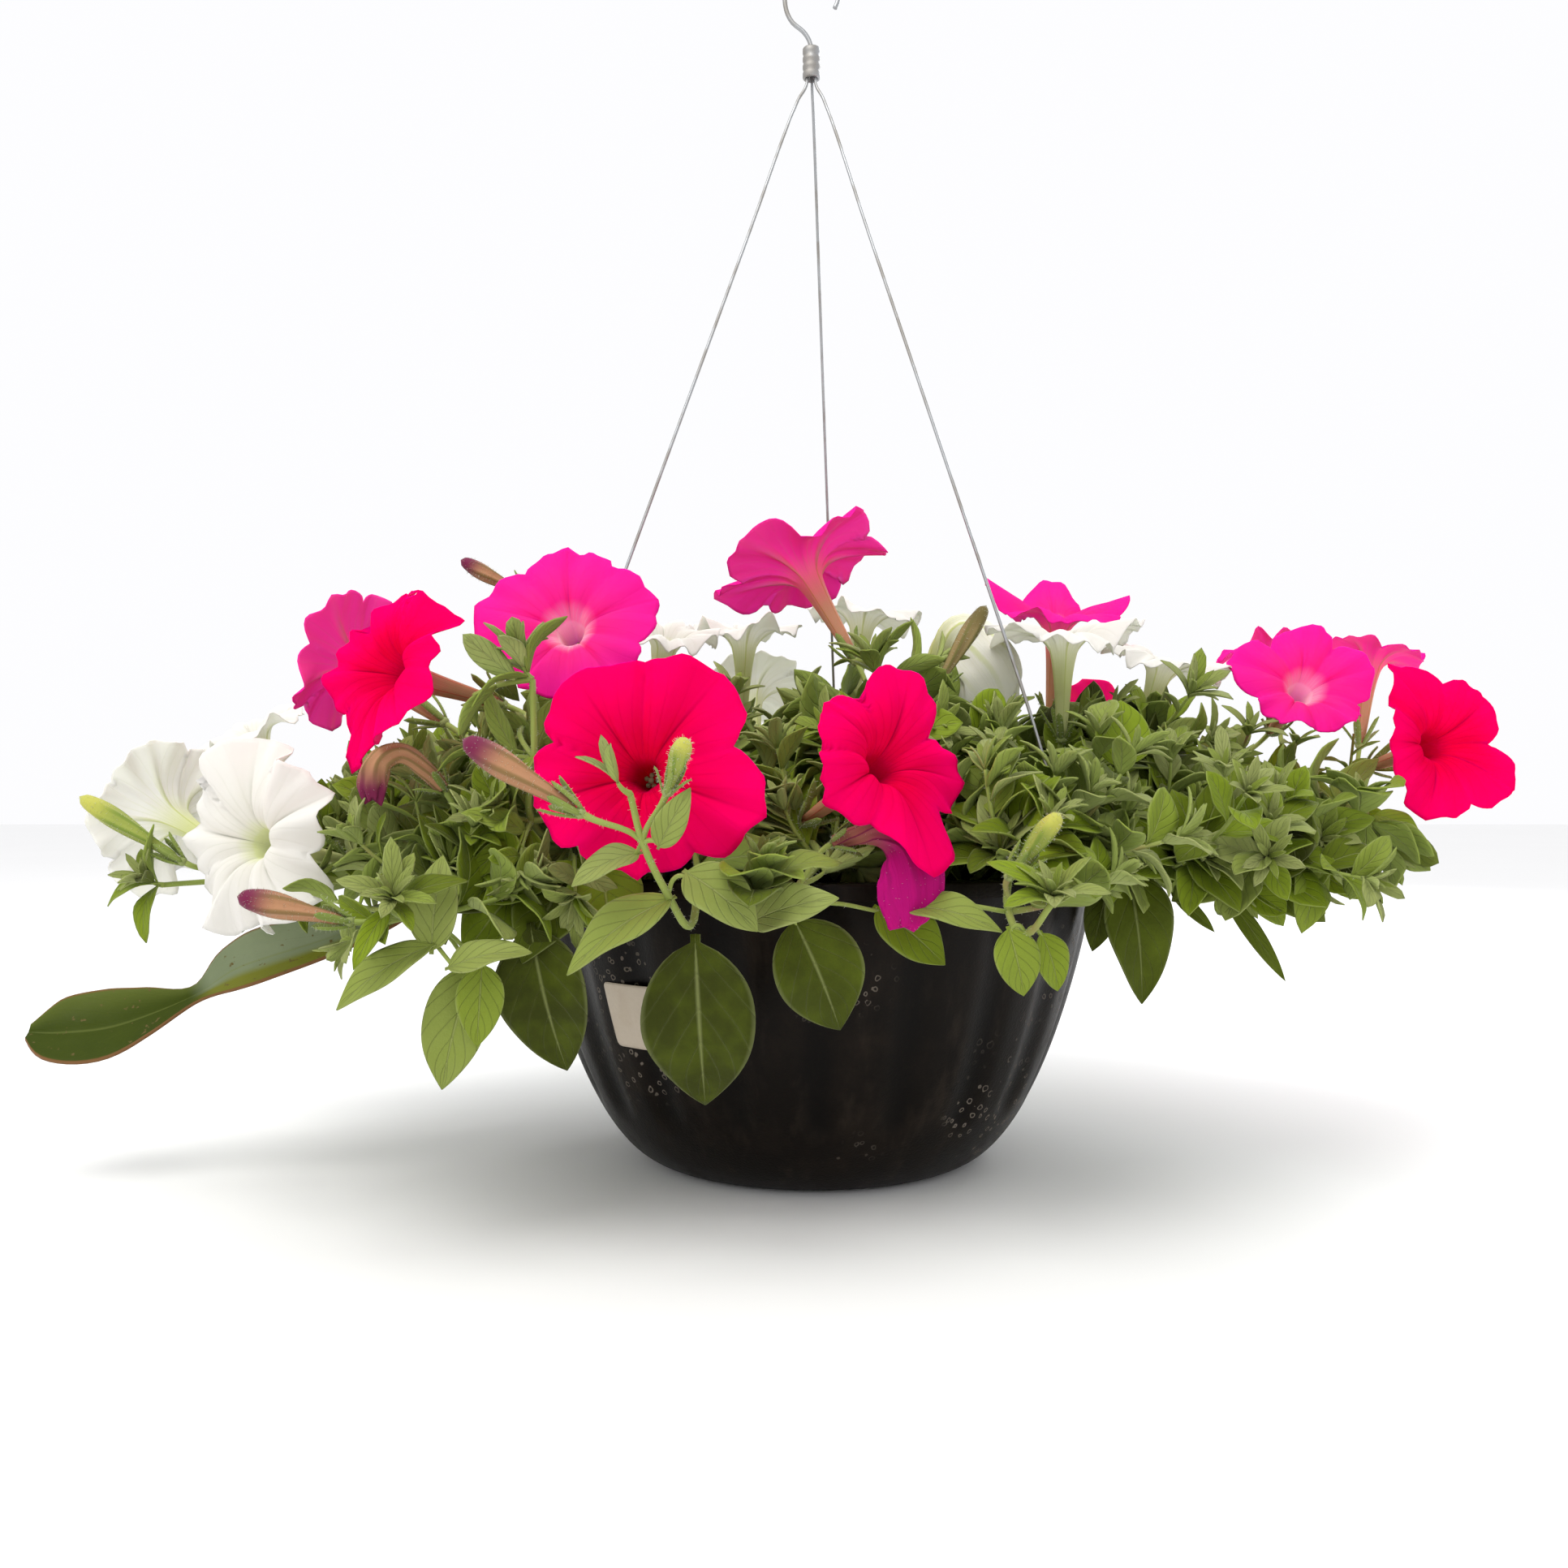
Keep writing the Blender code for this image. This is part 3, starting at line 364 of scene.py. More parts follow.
# Potting soil: dark crumbly peat with pale perlite, filled to just under the rim and heaped a little towards
# the middle. It lies loose in the bowl.
soil_low, soil_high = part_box("potting_soil")
crumbs, tree, shader = finish_named("potting_soil", roughness=0.95)
lumps = noisy(tree, 260, 6, None, 0.75)
flecks = cells(tree, 170)
perlite = ranged(tree, flecks.outputs["Distance"], 0.20, 0.12)
perlite = times(tree, perlite, mathed(tree, "GREATER_THAN", flecks.outputs["Color"], 0.66))
colour = mixed(tree, lumps, (0.012, 0.007, 0.005), (0.075, 0.045, 0.027))
feed(tree, shader, "Base Color", mixed(tree, perlite, colour, (0.62, 0.60, 0.55)))
bumped(tree, shader, plus(tree, lumps, perlite), 1.0, 0.002)

SOIL_HEAP = 0.004
SOIL_EDGE = soil_high.z - SOIL_HEAP
SOIL_GAP = 0.0026
side = wall_line(soil_low.z, WALL + SOIL_GAP, 9, 1.5, SOIL_EDGE)
top = [
    (side[-1][0] * (1 - i / 26), SOIL_EDGE + SOIL_HEAP * math.sin(i / 26 * math.pi / 2)) for i in range(1, 26)
]
bm = turned([(0, soil_low.z)] + side + top + [(0, SOIL_EDGE + SOIL_HEAP)], 120)
rough_rng = random.Random(7)
for point in bm.verts:
    if point.co.z > SOIL_EDGE - 0.001:
        point.co.z += rough_rng.uniform(-0.0016, 0.0012)
soil = piece_from("potting_soil_heap", bm, crumbs)
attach(soil, "root")
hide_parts("potting_soil")


# Price label: a rectangle of cream gummed paper with rounded corners, stuck across the ribs at the front
# left. It's blank. Its lower right corner has lifted, and damp has browned its edge.
label_low, label_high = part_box("price_label")
LABEL_WIDTH = 0.057
LABEL_HEIGHT = label_high.z - label_low.z
LABEL_MIDDLE = (label_low.z + label_high.z) / 2
LABEL_ANGLE = math.radians(-122.7)
CORNER = 0.0025
GUM = 0.0005
LIFT_START = 0.72
LIFT_MOST = 0.012
PAPER = 0.0002

bm = bmesh.new()
bmesh.ops.create_grid(bm, x_segments=38, y_segments=20, size=0.5)
for point in bm.verts:
    across, up = point.co.x * LABEL_WIDTH, point.co.y * LABEL_HEIGHT
    past_side = max(0, abs(across) - (LABEL_WIDTH / 2 - CORNER))
    past_end = max(0, abs(up) - (LABEL_HEIGHT / 2 - CORNER))
    beyond = math.hypot(past_side, past_end)
    if beyond > CORNER:
        across -= math.copysign(past_side * (1 - CORNER / beyond), across)
        up -= math.copysign(past_end * (1 - CORNER / beyond), up)
    height = LABEL_MIDDLE + up
    lift = max(0, across / LABEL_WIDTH - up / LABEL_HEIGHT - LIFT_START)
    reach = wall_radius(height) + GUM + LIFT_MOST * lift**2
    angle = LABEL_ANGLE + across / wall_radius(LABEL_MIDDLE)
    point.co = (reach * math.cos(angle), reach * math.sin(angle), height)
outward = Vector((math.cos(LABEL_ANGLE), math.sin(LABEL_ANGLE), 0))
bm.normal_update()
if sum(face.normal.dot(outward) for face in bm.faces) < 0:
    bmesh.ops.reverse_faces(bm, faces=bm.faces)

paper, tree, shader = finish_named("label_paper", roughness=0.55)
fibres = noisy(tree, 700, 4, None, 0.7)
damp = ranged(tree, noisy(tree, 45, 3), 0.50, 0.72)
colour = mixed(tree, fibres, (0.50, 0.42, 0.33), (0.60, 0.52, 0.42))
feed(tree, shader, "Base Color", mixed(tree, times(tree, damp, 0.5), colour, (0.42, 0.32, 0.22)))
bumped(tree, shader, fibres, 0.25, 0.0003)
label = piece_from("price_label_paper", bm, paper)
wall = label.modifiers.new("thickness", "SOLIDIFY")
wall.thickness = PAPER
wall.offset = 0
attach(label, "root")
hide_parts("price_label")


# Hanger: three galvanised wires, each crooked up through its own hole in the rim, brought over the edge and
# up to one hook, with a pressed sleeve crimped round all of them.
WIRE_RADIUS = 0.0008
HOOK_RADIUS = 0.0012
HOOK_BEND = 0.014
_, hook_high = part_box("hanger_hook")
ferrule_low, ferrule_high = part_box("hanger_ferrule")
FERRULE_BOTTOM, FERRULE_TOP = ferrule_low.z, ferrule_high.z
HOOK_CENTRE = hook_high.z - HOOK_BEND - HOOK_RADIUS

zinc, tree, shader = finish_named("galvanised_wire", roughness=0.38, metallic=1.0)
spangle = cells(tree, 900).outputs["Color"]
dull = ranged(tree, noisy(tree, 70, 4), 0.42, 0.66)
colour = mixed(tree, times(tree, spangle, 0.4), (0.40, 0.41, 0.42), (0.30, 0.31, 0.32))
feed(tree, shader, "Base Color", mixed(tree, times(tree, dull, 0.6), colour, (0.30, 0.27, 0.23)))
feed(tree, shader, "Roughness", mathed(tree, "MULTIPLY_ADD", dull, 0.20, 0.42))
bumped(tree, shader, noisy(tree, 1500, 2), 0.08, 0.0001)


def settled(holder):
    """The mesh of an object with its modifiers or bevel worked out. The object is removed."""
    bpy.context.scene.collection.objects.link(holder)
    bpy.context.view_layer.update()
    mesh = bpy.data.meshes.new_from_object(holder.evaluated_get(bpy.context.evaluated_depsgraph_get()))
    bpy.data.objects.remove(holder)
    bm = bmesh.new()
    bm.from_mesh(mesh)
    bpy.data.meshes.remove(mesh)
    return bm


def rounded_rods(lines, sides=4):
    """A bmesh of round closed rods along smooth lines; each line is a row of (point, radius)."""
    curve = bpy.data.curves.new("rods", "CURVE")
    curve.dimensions = "3D"
    curve.bevel_depth = 0.001
    curve.bevel_resolution = sides
    curve.use_fill_caps = True
    curve.resolution_u = 5
    for line in lines:
        spline = curve.splines.new("BEZIER")
        spline.bezier_points.add(len(line) - 1)
        for handle, (place, radius) in zip(spline.bezier_points, line):
            handle.co = place
            handle.radius = radius / 0.001
            handle.handle_left_type = handle.handle_right_type = "AUTO"
    bm = settled(bpy.data.objects.new("rods", curve))
    bpy.data.curves.remove(curve)
    bmesh.ops.remove_doubles(bm, verts=bm.verts, dist=1e-6)
    return bm


# Each wire, as radius and height: from its tip down through the hole, out below the skirt and over the rim,
# up to the sleeve, and into it.
CROOK = [
    (HANGER_CIRCLE, 0.1535), (HANGER_CIRCLE, 0.1420), (0.1490, 0.1388), (0.1535, 0.1376),
    (0.1585, 0.1395), (0.1595, 0.1440), (0.1575, 0.1500), (0.1500, 0.1610),
]
RISE = [(0.1500 - 0.1425 * share, 0.1610 + 0.3830 * share) for share in (0.2, 0.4, 0.6, 0.8, 1.0)]
INTO = [(0.0030, 0.5520), (0.0023, 0.5570), (0.0023, 0.5700)]
for side, degrees in HANGER_SIDES.items():
    across = Vector((math.cos(math.radians(degrees)), math.sin(math.radians(degrees)), 0))
    places = [across * radius + Vector((0, 0, height)) for radius, height in CROOK + RISE + INTO]
    wire_mesh = rounded_rods([[(place, WIRE_RADIUS) for place in places]])
    wire = piece_from(f"galvanised_wire_{side}", wire_mesh, zinc)
    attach(wire, "root")
    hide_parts(f"hanger_wire_{side}")

rise = HOOK_CENTRE - FERRULE_TOP
shank = [
    (0, FERRULE_BOTTOM + 0.002), (0, FERRULE_TOP),
    (-0.2 * HOOK_BEND, FERRULE_TOP + 0.25 * rise), (-0.8 * HOOK_BEND, FERRULE_TOP + 0.55 * rise),
]
turns = [math.radians(15 * i) for i in range(15)]
bend = [(-HOOK_BEND * math.cos(turn), HOOK_CENTRE + HOOK_BEND * math.sin(turn)) for turn in turns]
line = [(Vector((x, 0, z)), HOOK_RADIUS) for x, z in shank + bend]
hook = piece_from("galvanised_hook", rounded_rods([line]), zinc)
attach(hook, "root")
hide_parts("hanger_hook")

SLEEVE_BORE, SLEEVE_END, SLEEVE_RADIUS = 0.0034, 0.0042, 0.0046
SLEEVE_EASE = 0.0006
CRIMP_RADIUS = 0.0041
CRIMP_HALF = 0.0012
outline = [(SLEEVE_BORE, FERRULE_TOP), (SLEEVE_BORE, FERRULE_BOTTOM), (SLEEVE_END, FERRULE_BOTTOM)]
outline += [(SLEEVE_RADIUS, FERRULE_BOTTOM + SLEEVE_EASE)]
for share in (0.25, 0.5, 0.75):
    middle = FERRULE_BOTTOM + share * (FERRULE_TOP - FERRULE_BOTTOM)
    outline += [(SLEEVE_RADIUS, middle - CRIMP_HALF), (CRIMP_RADIUS, middle)]
    outline += [(SLEEVE_RADIUS, middle + CRIMP_HALF)]
outline += [(SLEEVE_RADIUS, FERRULE_TOP - SLEEVE_EASE), (SLEEVE_END, FERRULE_TOP)]
outline += [(SLEEVE_BORE, FERRULE_TOP)]
sleeve = piece_from("galvanised_sleeve", turned(outline, 32), zinc)
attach(sleeve, "root")
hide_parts("hanger_ferrule")


# Flowers: each is one soft trumpet of five joined petals on a narrow tube, held in a green calyx of five
# hairy sepals. The face is velvety, with a vein down each petal and finer ones slanting off it.
CROWN = Vector((0, 0, 0.13))
LOBES = 5
LOBE_STEPS = 20
TUBE_RINGS, LIMB_RINGS = 9, 20
THROAT_RADIUS = 0.0064
PETAL_THICKNESS = 0.0004
TUBE_SHARE = 0.38
TUBE_FOOT, TUBE_RADIUS = 0.0021, 0.0043
FACE_RISE, FACE_DIP = 0.0125, 0.002
FACE_START = 0.95
SEPAL_THICKNESS = 0.0005
CALYX_RADIUS = 0.0018
SEPAL_WIDTH = 0.20
BLADE_FOOT = 0.04
HAIR_RADIUS, HAIR_TIP = 0.00007, 0.00001
HAIR_BATCH = 60


def turned_form(name):
    """Foot, facing, greatest radius and length of a turned CAD solid, read from its own points."""
    points = np.array([point.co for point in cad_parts[name].data.vertices])
    points = np.unique(np.round(points, 6), axis=0)
    middle = points.mean(axis=0)
    spreads, ways = np.linalg.eigh(np.cov((points - middle).T))
    odd = 2 if spreads[2] - spreads[1] > spreads[1] - spreads[0] else 0
    facing = ways[:, odd]
    if facing @ (middle - np.array(CROWN)) < 0:
        facing = -facing
    along = (points - middle) @ facing
    foot = middle + facing * along.min()
    radial = np.linalg.norm(points - middle - np.outer(along, facing), axis=1)
    return Vector(foot), Vector(facing), float(radial.max()), float(along.max() - along.min())


def ruffle(place, seed, coarse=2.0):
    """A smooth wandering value round a point."""
    return noise.noise(Vector((place.x * coarse, place.y * coarse, place.z * coarse + seed)))


def marked(bm, marks):
    """Writes where each point lies on its organ, across and along, to the map that the finishes read."""
    layers = bm.loops.layers.uv
    uv = layers["organ"] if "organ" in layers.keys() else layers.new("organ")
    for face in bm.faces:
        for loop in face.loops:
            loop[uv].uv = marks[loop.vert]


def petal_sheet(radius, tube, seed, ruffled, lobes, notch, uncut=None):
    """The trumpet as one thin sheet along +Z: spun from a half profile, then lobed, creased and ruffled. Each
    lobe has its share of the radius, how far it bends forward, and how far one side of it swings ahead of the
    other. The notch that follows the uncut lobe is shallow."""
    bm = bmesh.new()
    reach = bm.verts.layers.float.new("reach")
    row = []
    for i in range(TUBE_RINGS + LIMB_RINGS + 1):
        share = i / TUBE_RINGS
        limb = (i - TUBE_RINGS) / LIMB_RINGS
        if limb <= 0:
            width = TUBE_FOOT + (TUBE_RADIUS - TUBE_FOOT) * math.sin(share * math.pi / 2)
            width += (THROAT_RADIUS - TUBE_RADIUS) * share**5
            height = FACE_START * tube * share
        else:
            width = THROAT_RADIUS + (radius - THROAT_RADIUS) * limb**1.12
            height = FACE_START * tube + FACE_RISE * (1 - math.exp(-4.2 * limb)) - FACE_DIP * limb**3
        point = bm.verts.new((width, 0, height))
        point[reach] = TUBE_SHARE * share if limb <= 0 else TUBE_SHARE + (1 - TUBE_SHARE) * limb
        row.append(point)
    edges = [bm.edges.new(pair) for pair in zip(row, row[1:])]
    bmesh.ops.spin(
        bm, geom=row + edges, axis=(0, 0, 1), cent=(0, 0, 0), angle=math.tau,
        steps=LOBES * LOBE_STEPS, use_merge=True,
    )
    bmesh.ops.remove_doubles(bm, verts=bm.verts, dist=1e-7)
    marks = {}
    for point in bm.verts:
        turn = math.atan2(point.co.y, point.co.x) / math.tau * LOBES
        lobe = round(turn)
        side = turn - lobe
        fold, share = min(abs(side) * 2, 1), point[reach]
        marks[point] = (fold, share)
        limb = max(0, (share - TUBE_SHARE) / (1 - TUBE_SHARE))
        if limb == 0:
            rib = 1 + 0.06 * math.cos(math.pi * fold) * min(share / TUBE_SHARE, 1)
            point.co.x *= rib
            point.co.y *= rib
            continue
        size, bend, swing = lobes[lobe % LOBES]
        unit = Vector((point.co.x, point.co.y, 0)).normalized()
        hold = math.cos(side * math.pi)
        depth = 0.2 * notch if uncut == (lobe if side > 0 else lobe - 1) % LOBES else notch
        edge = 1 + (size - 1) * hold * limb - depth * fold**4 * limb**1.5
        edge += 0.055 * max(0, 1 - fold / 0.3) ** 1.4 * limb**6
        edge += 0.05 * ruffle(unit, seed + 4, 6.5) * limb**4
        edge -= 0.30 * (bend * hold) ** 2 * limb
        wander = ruffle(unit, seed, 1.7) + 0.6 * ruffle(unit, seed + 9, 4.2) * limb
        relief = 0.050 * math.sin(math.pi * fold**0.8) * math.sin(math.pi * limb**0.7)
        relief -= 0.030 * math.exp(-((fold / 0.09) ** 2)) * math.sin(math.pi * limb**0.55)
        relief -= 0.035 * fold**6 * limb
        wave = 0.32 * math.sin(side * math.tau * 1.5 + seed + lobe % LOBES)
        wave += 0.2 * math.sin(side * math.tau * 3.5 + seed)
        lift = relief + ruffled * (1.5 * wander * limb**1.5 + wave * limb**2.6)
        lift += (bend * hold + swing * math.sin(side * math.tau)) * limb**1.7
        point.co.x *= edge
        point.co.y *= edge
        point.co.z += lift * radius
    marked(bm, marks)
    bm.normal_update()
    limb_faces = [face for face in bm.faces if face.calc_center_median().z > 0.9 * tube]
    if sum(face.normal.z * face.calc_area() for face in limb_faces) < 0:
        bmesh.ops.reverse_faces(bm, faces=bm.faces)
    return bm


def blade(bm, start, way, up, length, width, across, along, fold, arch, droop, tint,
          shape=(0.72, 0.80), wave=0.0, seed=0.0, twist=0.0):
    """A leaf or sepal: a grid shaped into a folded, arched blade with its widest part low down."""
    leaf = sheets()
    bmesh.ops.create_grid(leaf, x_segments=across, y_segments=along, size=0.5)
    shade = leaf.verts.layers.float["tint"]
    side = way.cross(up).normalized()
    up = side.cross(way).normalized()
    low, high = shape
    most = (low / (low + high)) ** low * (high / (low + high)) ** high
    marks = {}
    for point in leaf.verts:
        u, v = point.co.x * 2, point.co.y + 0.5
        marks[point] = (abs(u), v)
        body = max(0, (v - BLADE_FOOT) / 0.96)
        half = width / 2 * max(body**low * (1 - body) ** high / most, 0.08 * (1 - v) + 0.01)
        centre = start + way * length * v * (1 - 0.25 * abs(droop) * v)
        centre = centre + up * length * (arch * math.sin(math.pi * v) - droop * v * v)
        turn = twist * v
        flat = side * math.cos(turn) + up * math.sin(turn)
        rise = up * math.cos(turn) - side * math.sin(turn)
        bend = math.sin(v * 8.5 + seed + (1.9 if u > 0 else 0)) * wave
        lift = abs(u) * half * math.sin(fold) + bend * u * u * half
        point.co = centre + flat * (u * half * math.cos(fold)) + rise * lift
        point[shade] = tint
    marked(leaf, marks)
    joined(bm, leaf, 0)


def sheets():
    """An empty bmesh with the layers that the petals' and leaves' finishes read."""
    bm = bmesh.new()
    bm.loops.layers.uv.new("organ")
    bm.verts.layers.float.new("tint")
    return bm


def thickened(bm, materials, thickness):
    """The sheets given a thickness, with the next material on their undersides, as a bmesh."""
    mesh = bpy.data.meshes.new("sheets")
    bm.to_mesh(mesh)
    bm.free()
    for material in materials:
        mesh.materials.append(material)
    holder = bpy.data.objects.new("sheets", mesh)
    wall = holder.modifiers.new("thickness", "SOLIDIFY")
    wall.thickness = thickness
    wall.offset = 0
    wall.material_offset = 1
    bm = settled(holder)
    bpy.data.meshes.remove(mesh)
    return bm


def joined(bm, other, material):
    """Adds a closed bmesh to another one, all in one material."""
    mesh = bpy.data.meshes.new("part")
    for face in other.faces:
        face.material_index = material
        face.smooth = True
    other.to_mesh(mesh)
    other.free()
    bm.from_mesh(mesh)
    bpy.data.meshes.remove(mesh)


def hairs_on(bm, wanted, count, length, material, rng):
    """Fine tapering hairs standing on the faces of some materials, spread by area."""
    faces = [face for face in bm.faces if face.material_index in wanted]
    if not faces:
        return
    areas = [face.calc_area() for face in faces]
    bm.normal_update()
    roots = []
    for face in rng.choices(faces, weights=areas, k=count):
        shares = [rng.random() + 0.05 for _ in face.verts]
        root = sum((point.co * share for point, share in zip(face.verts, shares)), Vector()) / sum(shares)
        roots.append((root, face.normal.copy()))
    for first in range(0, count, HAIR_BATCH):
        batch = bmesh.new()
        for root, normal in roots[first:first + HAIR_BATCH]:
            way = (normal + Vector([rng.uniform(-0.35, 0.35) for _ in range(3)])).normalized()
            tall = length * rng.uniform(0.6, 1.2)
            turned_up = way.to_track_quat("Z", "Y").to_matrix().to_4x4()
            bmesh.ops.create_cone(
                batch, cap_ends=True, segments=3, radius1=HAIR_RADIUS, radius2=HAIR_TIP, depth=tall,
                matrix=Matrix.Translation(root + way * tall * 0.48) @ turned_up,
            )
        joined(bm, batch, material)


VEIN_INPUTS = {"Side veins": 6.0, "Slant": 3.0, "Fineness": 8.0, "Start": 0.0}
VEIN_OUTPUTS = ("Midrib", "Side", "Reach", "Fold")


def veins_group():
    """Shader group: the midrib and side veins of a petal or leaf, and where a point lies on the organ."""
    group = bpy.data.node_groups.new("organ_veins", "ShaderNodeTree")
    for name, value in VEIN_INPUTS.items():
        group.interface.new_socket(name, in_out="INPUT", socket_type="NodeSocketFloat").default_value = value
    for name in VEIN_OUTPUTS:
        group.interface.new_socket(name, in_out="OUTPUT", socket_type="NodeSocketFloat")
    taken = group.nodes.new("NodeGroupInput").outputs
    given = group.nodes.new("NodeGroupOutput").inputs
    place = group.nodes.new("ShaderNodeUVMap")
    place.uv_map = "organ"
    split = group.nodes.new("ShaderNodeSeparateXYZ")
    group.links.new(place.outputs[0], split.inputs[0])
    fold, reach = split.outputs[0], split.outputs[1]
    wobble = mathed(group, "MULTIPLY_ADD", noisy(group, 160), 0.10, -0.05)
    past = minus(group, 1.0, taken["Start"])
    out = mathed(group, "DIVIDE", minus(group, reach, taken["Start"]), past, clamp=True)
    midrib = ranged(group, plus(group, fold, times(group, out, 0.02)), 0.075, 0.015)
    ways = minus(group, times(group, out, taken["Side veins"]), times(group, fold, taken["Slant"]))
    ways = plus(group, ways, wobble)
    wave = mathed(group, "ABSOLUTE", mathed(group, "SINE", times(group, ways, math.pi)))
    side = mathed(group, "POWER", minus(group, 1.0, wave), taken["Fineness"])
    for name, mask in zip(VEIN_OUTPUTS, (midrib, side, out, fold)):
        group.links.new(mask, given[name])
    return group


organ_veins = veins_group()


def veined(tree, side_veins, slant, fineness, start):
    """Places the vein group in a material and gives its four outputs."""
    made = node(tree, "ShaderNodeGroup", node_tree=organ_veins)
    for socket, value in zip(VEIN_INPUTS, (side_veins, slant, fineness, start)):
        made.inputs[socket].default_value = value
    return [made.outputs[name] for name in VEIN_OUTPUTS]


PETAL_VEINS = (1.0, 3.3, 4.0)
PETAL_GLOW, PETAL_GLOW_DEPTH = 0.5, 0.004


def petal_face(name, limb, edge, vein, throat, glow, depth, bleed):
    """The inner face of a flower: a dark or pale throat, veins fanning out of it and a velvety limb. The limb
    darkens from its edge towards the throat, and a red flower's throat is dark: partly the petals' own
    colour, partly painted shade inside the funnel.
    """
    material, tree, shader = finish_named(
        name, roughness=0.62, Specular_IOR_Level=0.0, Subsurface_Weight=PETAL_GLOW,
        Subsurface_Scale=PETAL_GLOW_DEPTH, Subsurface_Radius=bleed,
    )
    midrib, side, out, _ = veined(tree, *PETAL_VEINS, TUBE_SHARE)
    cloud = noisy(tree, 45, 3)
    # The limb darkens from its edge towards the throat: partly the petals' own colour, partly painted shade
    # inside the funnel.
    colour = mixed(tree, ranged(tree, out, 0.15, 0.95), limb, edge)
    colour = mixed(tree, times(tree, ranged(tree, cloud, 0.35, 0.70), 0.35), colour, edge)
    ray = mathed(tree, "MAXIMUM", midrib, side)
    star = times(tree, ranged(tree, out, glow, 0.0), ranged(tree, ray, 0.0, 0.6, 0.62, 1.0))
    colour = mixed(tree, star, colour, throat)
    lines = mathed(tree, "MAXIMUM", midrib, times(tree, side, 0.55))
    lines = times(tree, lines, ranged(tree, out, 0.95, 0.10, 0.08, 1.0))
    colour = mixed(tree, times(tree, lines, depth), colour, vein)
    # The throat colour fills the tube and the foot of the limb. In the red flowers its darkness is partly
    # painted shade down the tube.
    feed(tree, shader, "Base Color", mixed(tree, ranged(tree, out, 0.035, 0.0), colour, throat))
    height = minus(tree, times(tree, noisy(tree, 300, 3), 0.3), plus(tree, midrib, times(tree, side, 0.5)))
    bumped(tree, shader, height, 0.30, 0.0006)
    return material


def petal_back(name, limb, tube, vein, bleed):
    """The outer face: paler, with the veins standing out as coloured ribs that run down the tube."""
    material, tree, shader = finish_named(
        name, roughness=0.65, Specular_IOR_Level=0.06, Subsurface_Weight=PETAL_GLOW,
        Subsurface_Scale=PETAL_GLOW_DEPTH, Subsurface_Radius=bleed,
    )
    _, side, out, fold = veined(tree, *PETAL_VEINS, TUBE_SHARE)
    whole = veined(tree, *PETAL_VEINS, 0.0)[2]
    colour = mixed(tree, ranged(tree, whole, 0.20, 0.58), tube, limb)
    ribs = times(tree, ranged(tree, fold, 0.16, 0.02), ranged(tree, out, 0.85, 0.0, 0.10, 0.8))
    colour = mixed(tree, ribs, colour, vein)
    colour = mixed(tree, times(tree, side, ranged(tree, out, 0.8, 0.0, 0.05, 0.30)), colour, vein)
    feed(tree, shader, "Base Color", colour)
    bumped(tree, shader, plus(tree, ribs, times(tree, side, 0.4)), 0.35, 0.0006)
    return material


PETALS = {
    "red": (
        petal_face(
            "red_petal_face", (0.63, 0.0004, 0.034), (0.92, 0.0006, 0.095), (0.38, 0.0, 0.026),
            (0.46, 0.0, 0.035), 0.14, 0.65, (1.0, 0.1, 0.4),
        ),
        petal_back(
            "red_petal_back", (0.90, 0.010, 0.15), (0.46, 0.20, 0.11), (0.46, 0.075, 0.045),
            (1.0, 0.2, 0.5),
        ),
    ),
    "pink": (
        petal_face(
            "pink_petal_face", (0.92, 0.024, 0.20), (0.96, 0.014, 0.25), (0.68, 0.012, 0.14),
            (0.95, 0.50, 0.58), 0.28, 0.40, (1.0, 0.2, 0.6),
        ),
        petal_back(
            "pink_petal_back", (0.94, 0.045, 0.23), (0.62, 0.26, 0.16), (0.52, 0.20, 0.06),
            (1.0, 0.3, 0.7),
        ),
    ),
    "white": (
        petal_face(
            "white_petal_face", (0.68, 0.65, 0.57), (0.77, 0.74, 0.68), (0.52, 0.52, 0.40),
            (0.60, 0.64, 0.30), 0.18, 0.50, (1.0, 1.0, 0.9),
        ),
        petal_back(
            "white_petal_back", (0.80, 0.79, 0.71), (0.60, 0.64, 0.25), (0.52, 0.57, 0.18),
            (1.0, 1.0, 0.8),
        ),
    ),
    "faded": (
        petal_face(
            "faded_petal_face", (0.36, 0.004, 0.13), (0.48, 0.008, 0.20), (0.12, 0.0, 0.04),
            (0.08, 0.01, 0.03), 0.30, 0.7, (1.0, 0.2, 0.6),
        ),
        petal_back(
            "faded_petal_back", (0.44, 0.004, 0.16), (0.34, 0.12, 0.09), (0.16, 0.004, 0.06),
            (1.0, 0.2, 0.6),
        ),
    ),
}

sepal, tree, shader = finish_named("sepal_green", roughness=0.7, Sheen_Weight=0.12, Specular_IOR_Level=0.25)
midrib, _, _, _ = veined(tree, 5, 2, 6, 0.0)
colour = mixed(tree, noisy(tree, 220, 2), (0.14, 0.21, 0.030), (0.25, 0.30, 0.070))
colour = mixed(tree, times(tree, midrib, 0.5), colour, (0.36, 0.40, 0.17))
feed(tree, shader, "Base Color", colour)
bumped(tree, shader, noisy(tree, 900, 3), 0.3, 0.0004)

down, tree, shader = finish_named("plant_hairs", roughness=0.5)
feed(tree, shader, "Base Color", mixed(tree, noisy(tree, 500, 1), (0.62, 0.66, 0.46), (0.78, 0.78, 0.66)))

anther, tree, shader = finish_named("anthers", roughness=0.8)
feed(tree, shader, "Base Color", mixed(tree, noisy(tree, 2500, 2), (0.36, 0.40, 0.16), (0.62, 0.60, 0.34)))

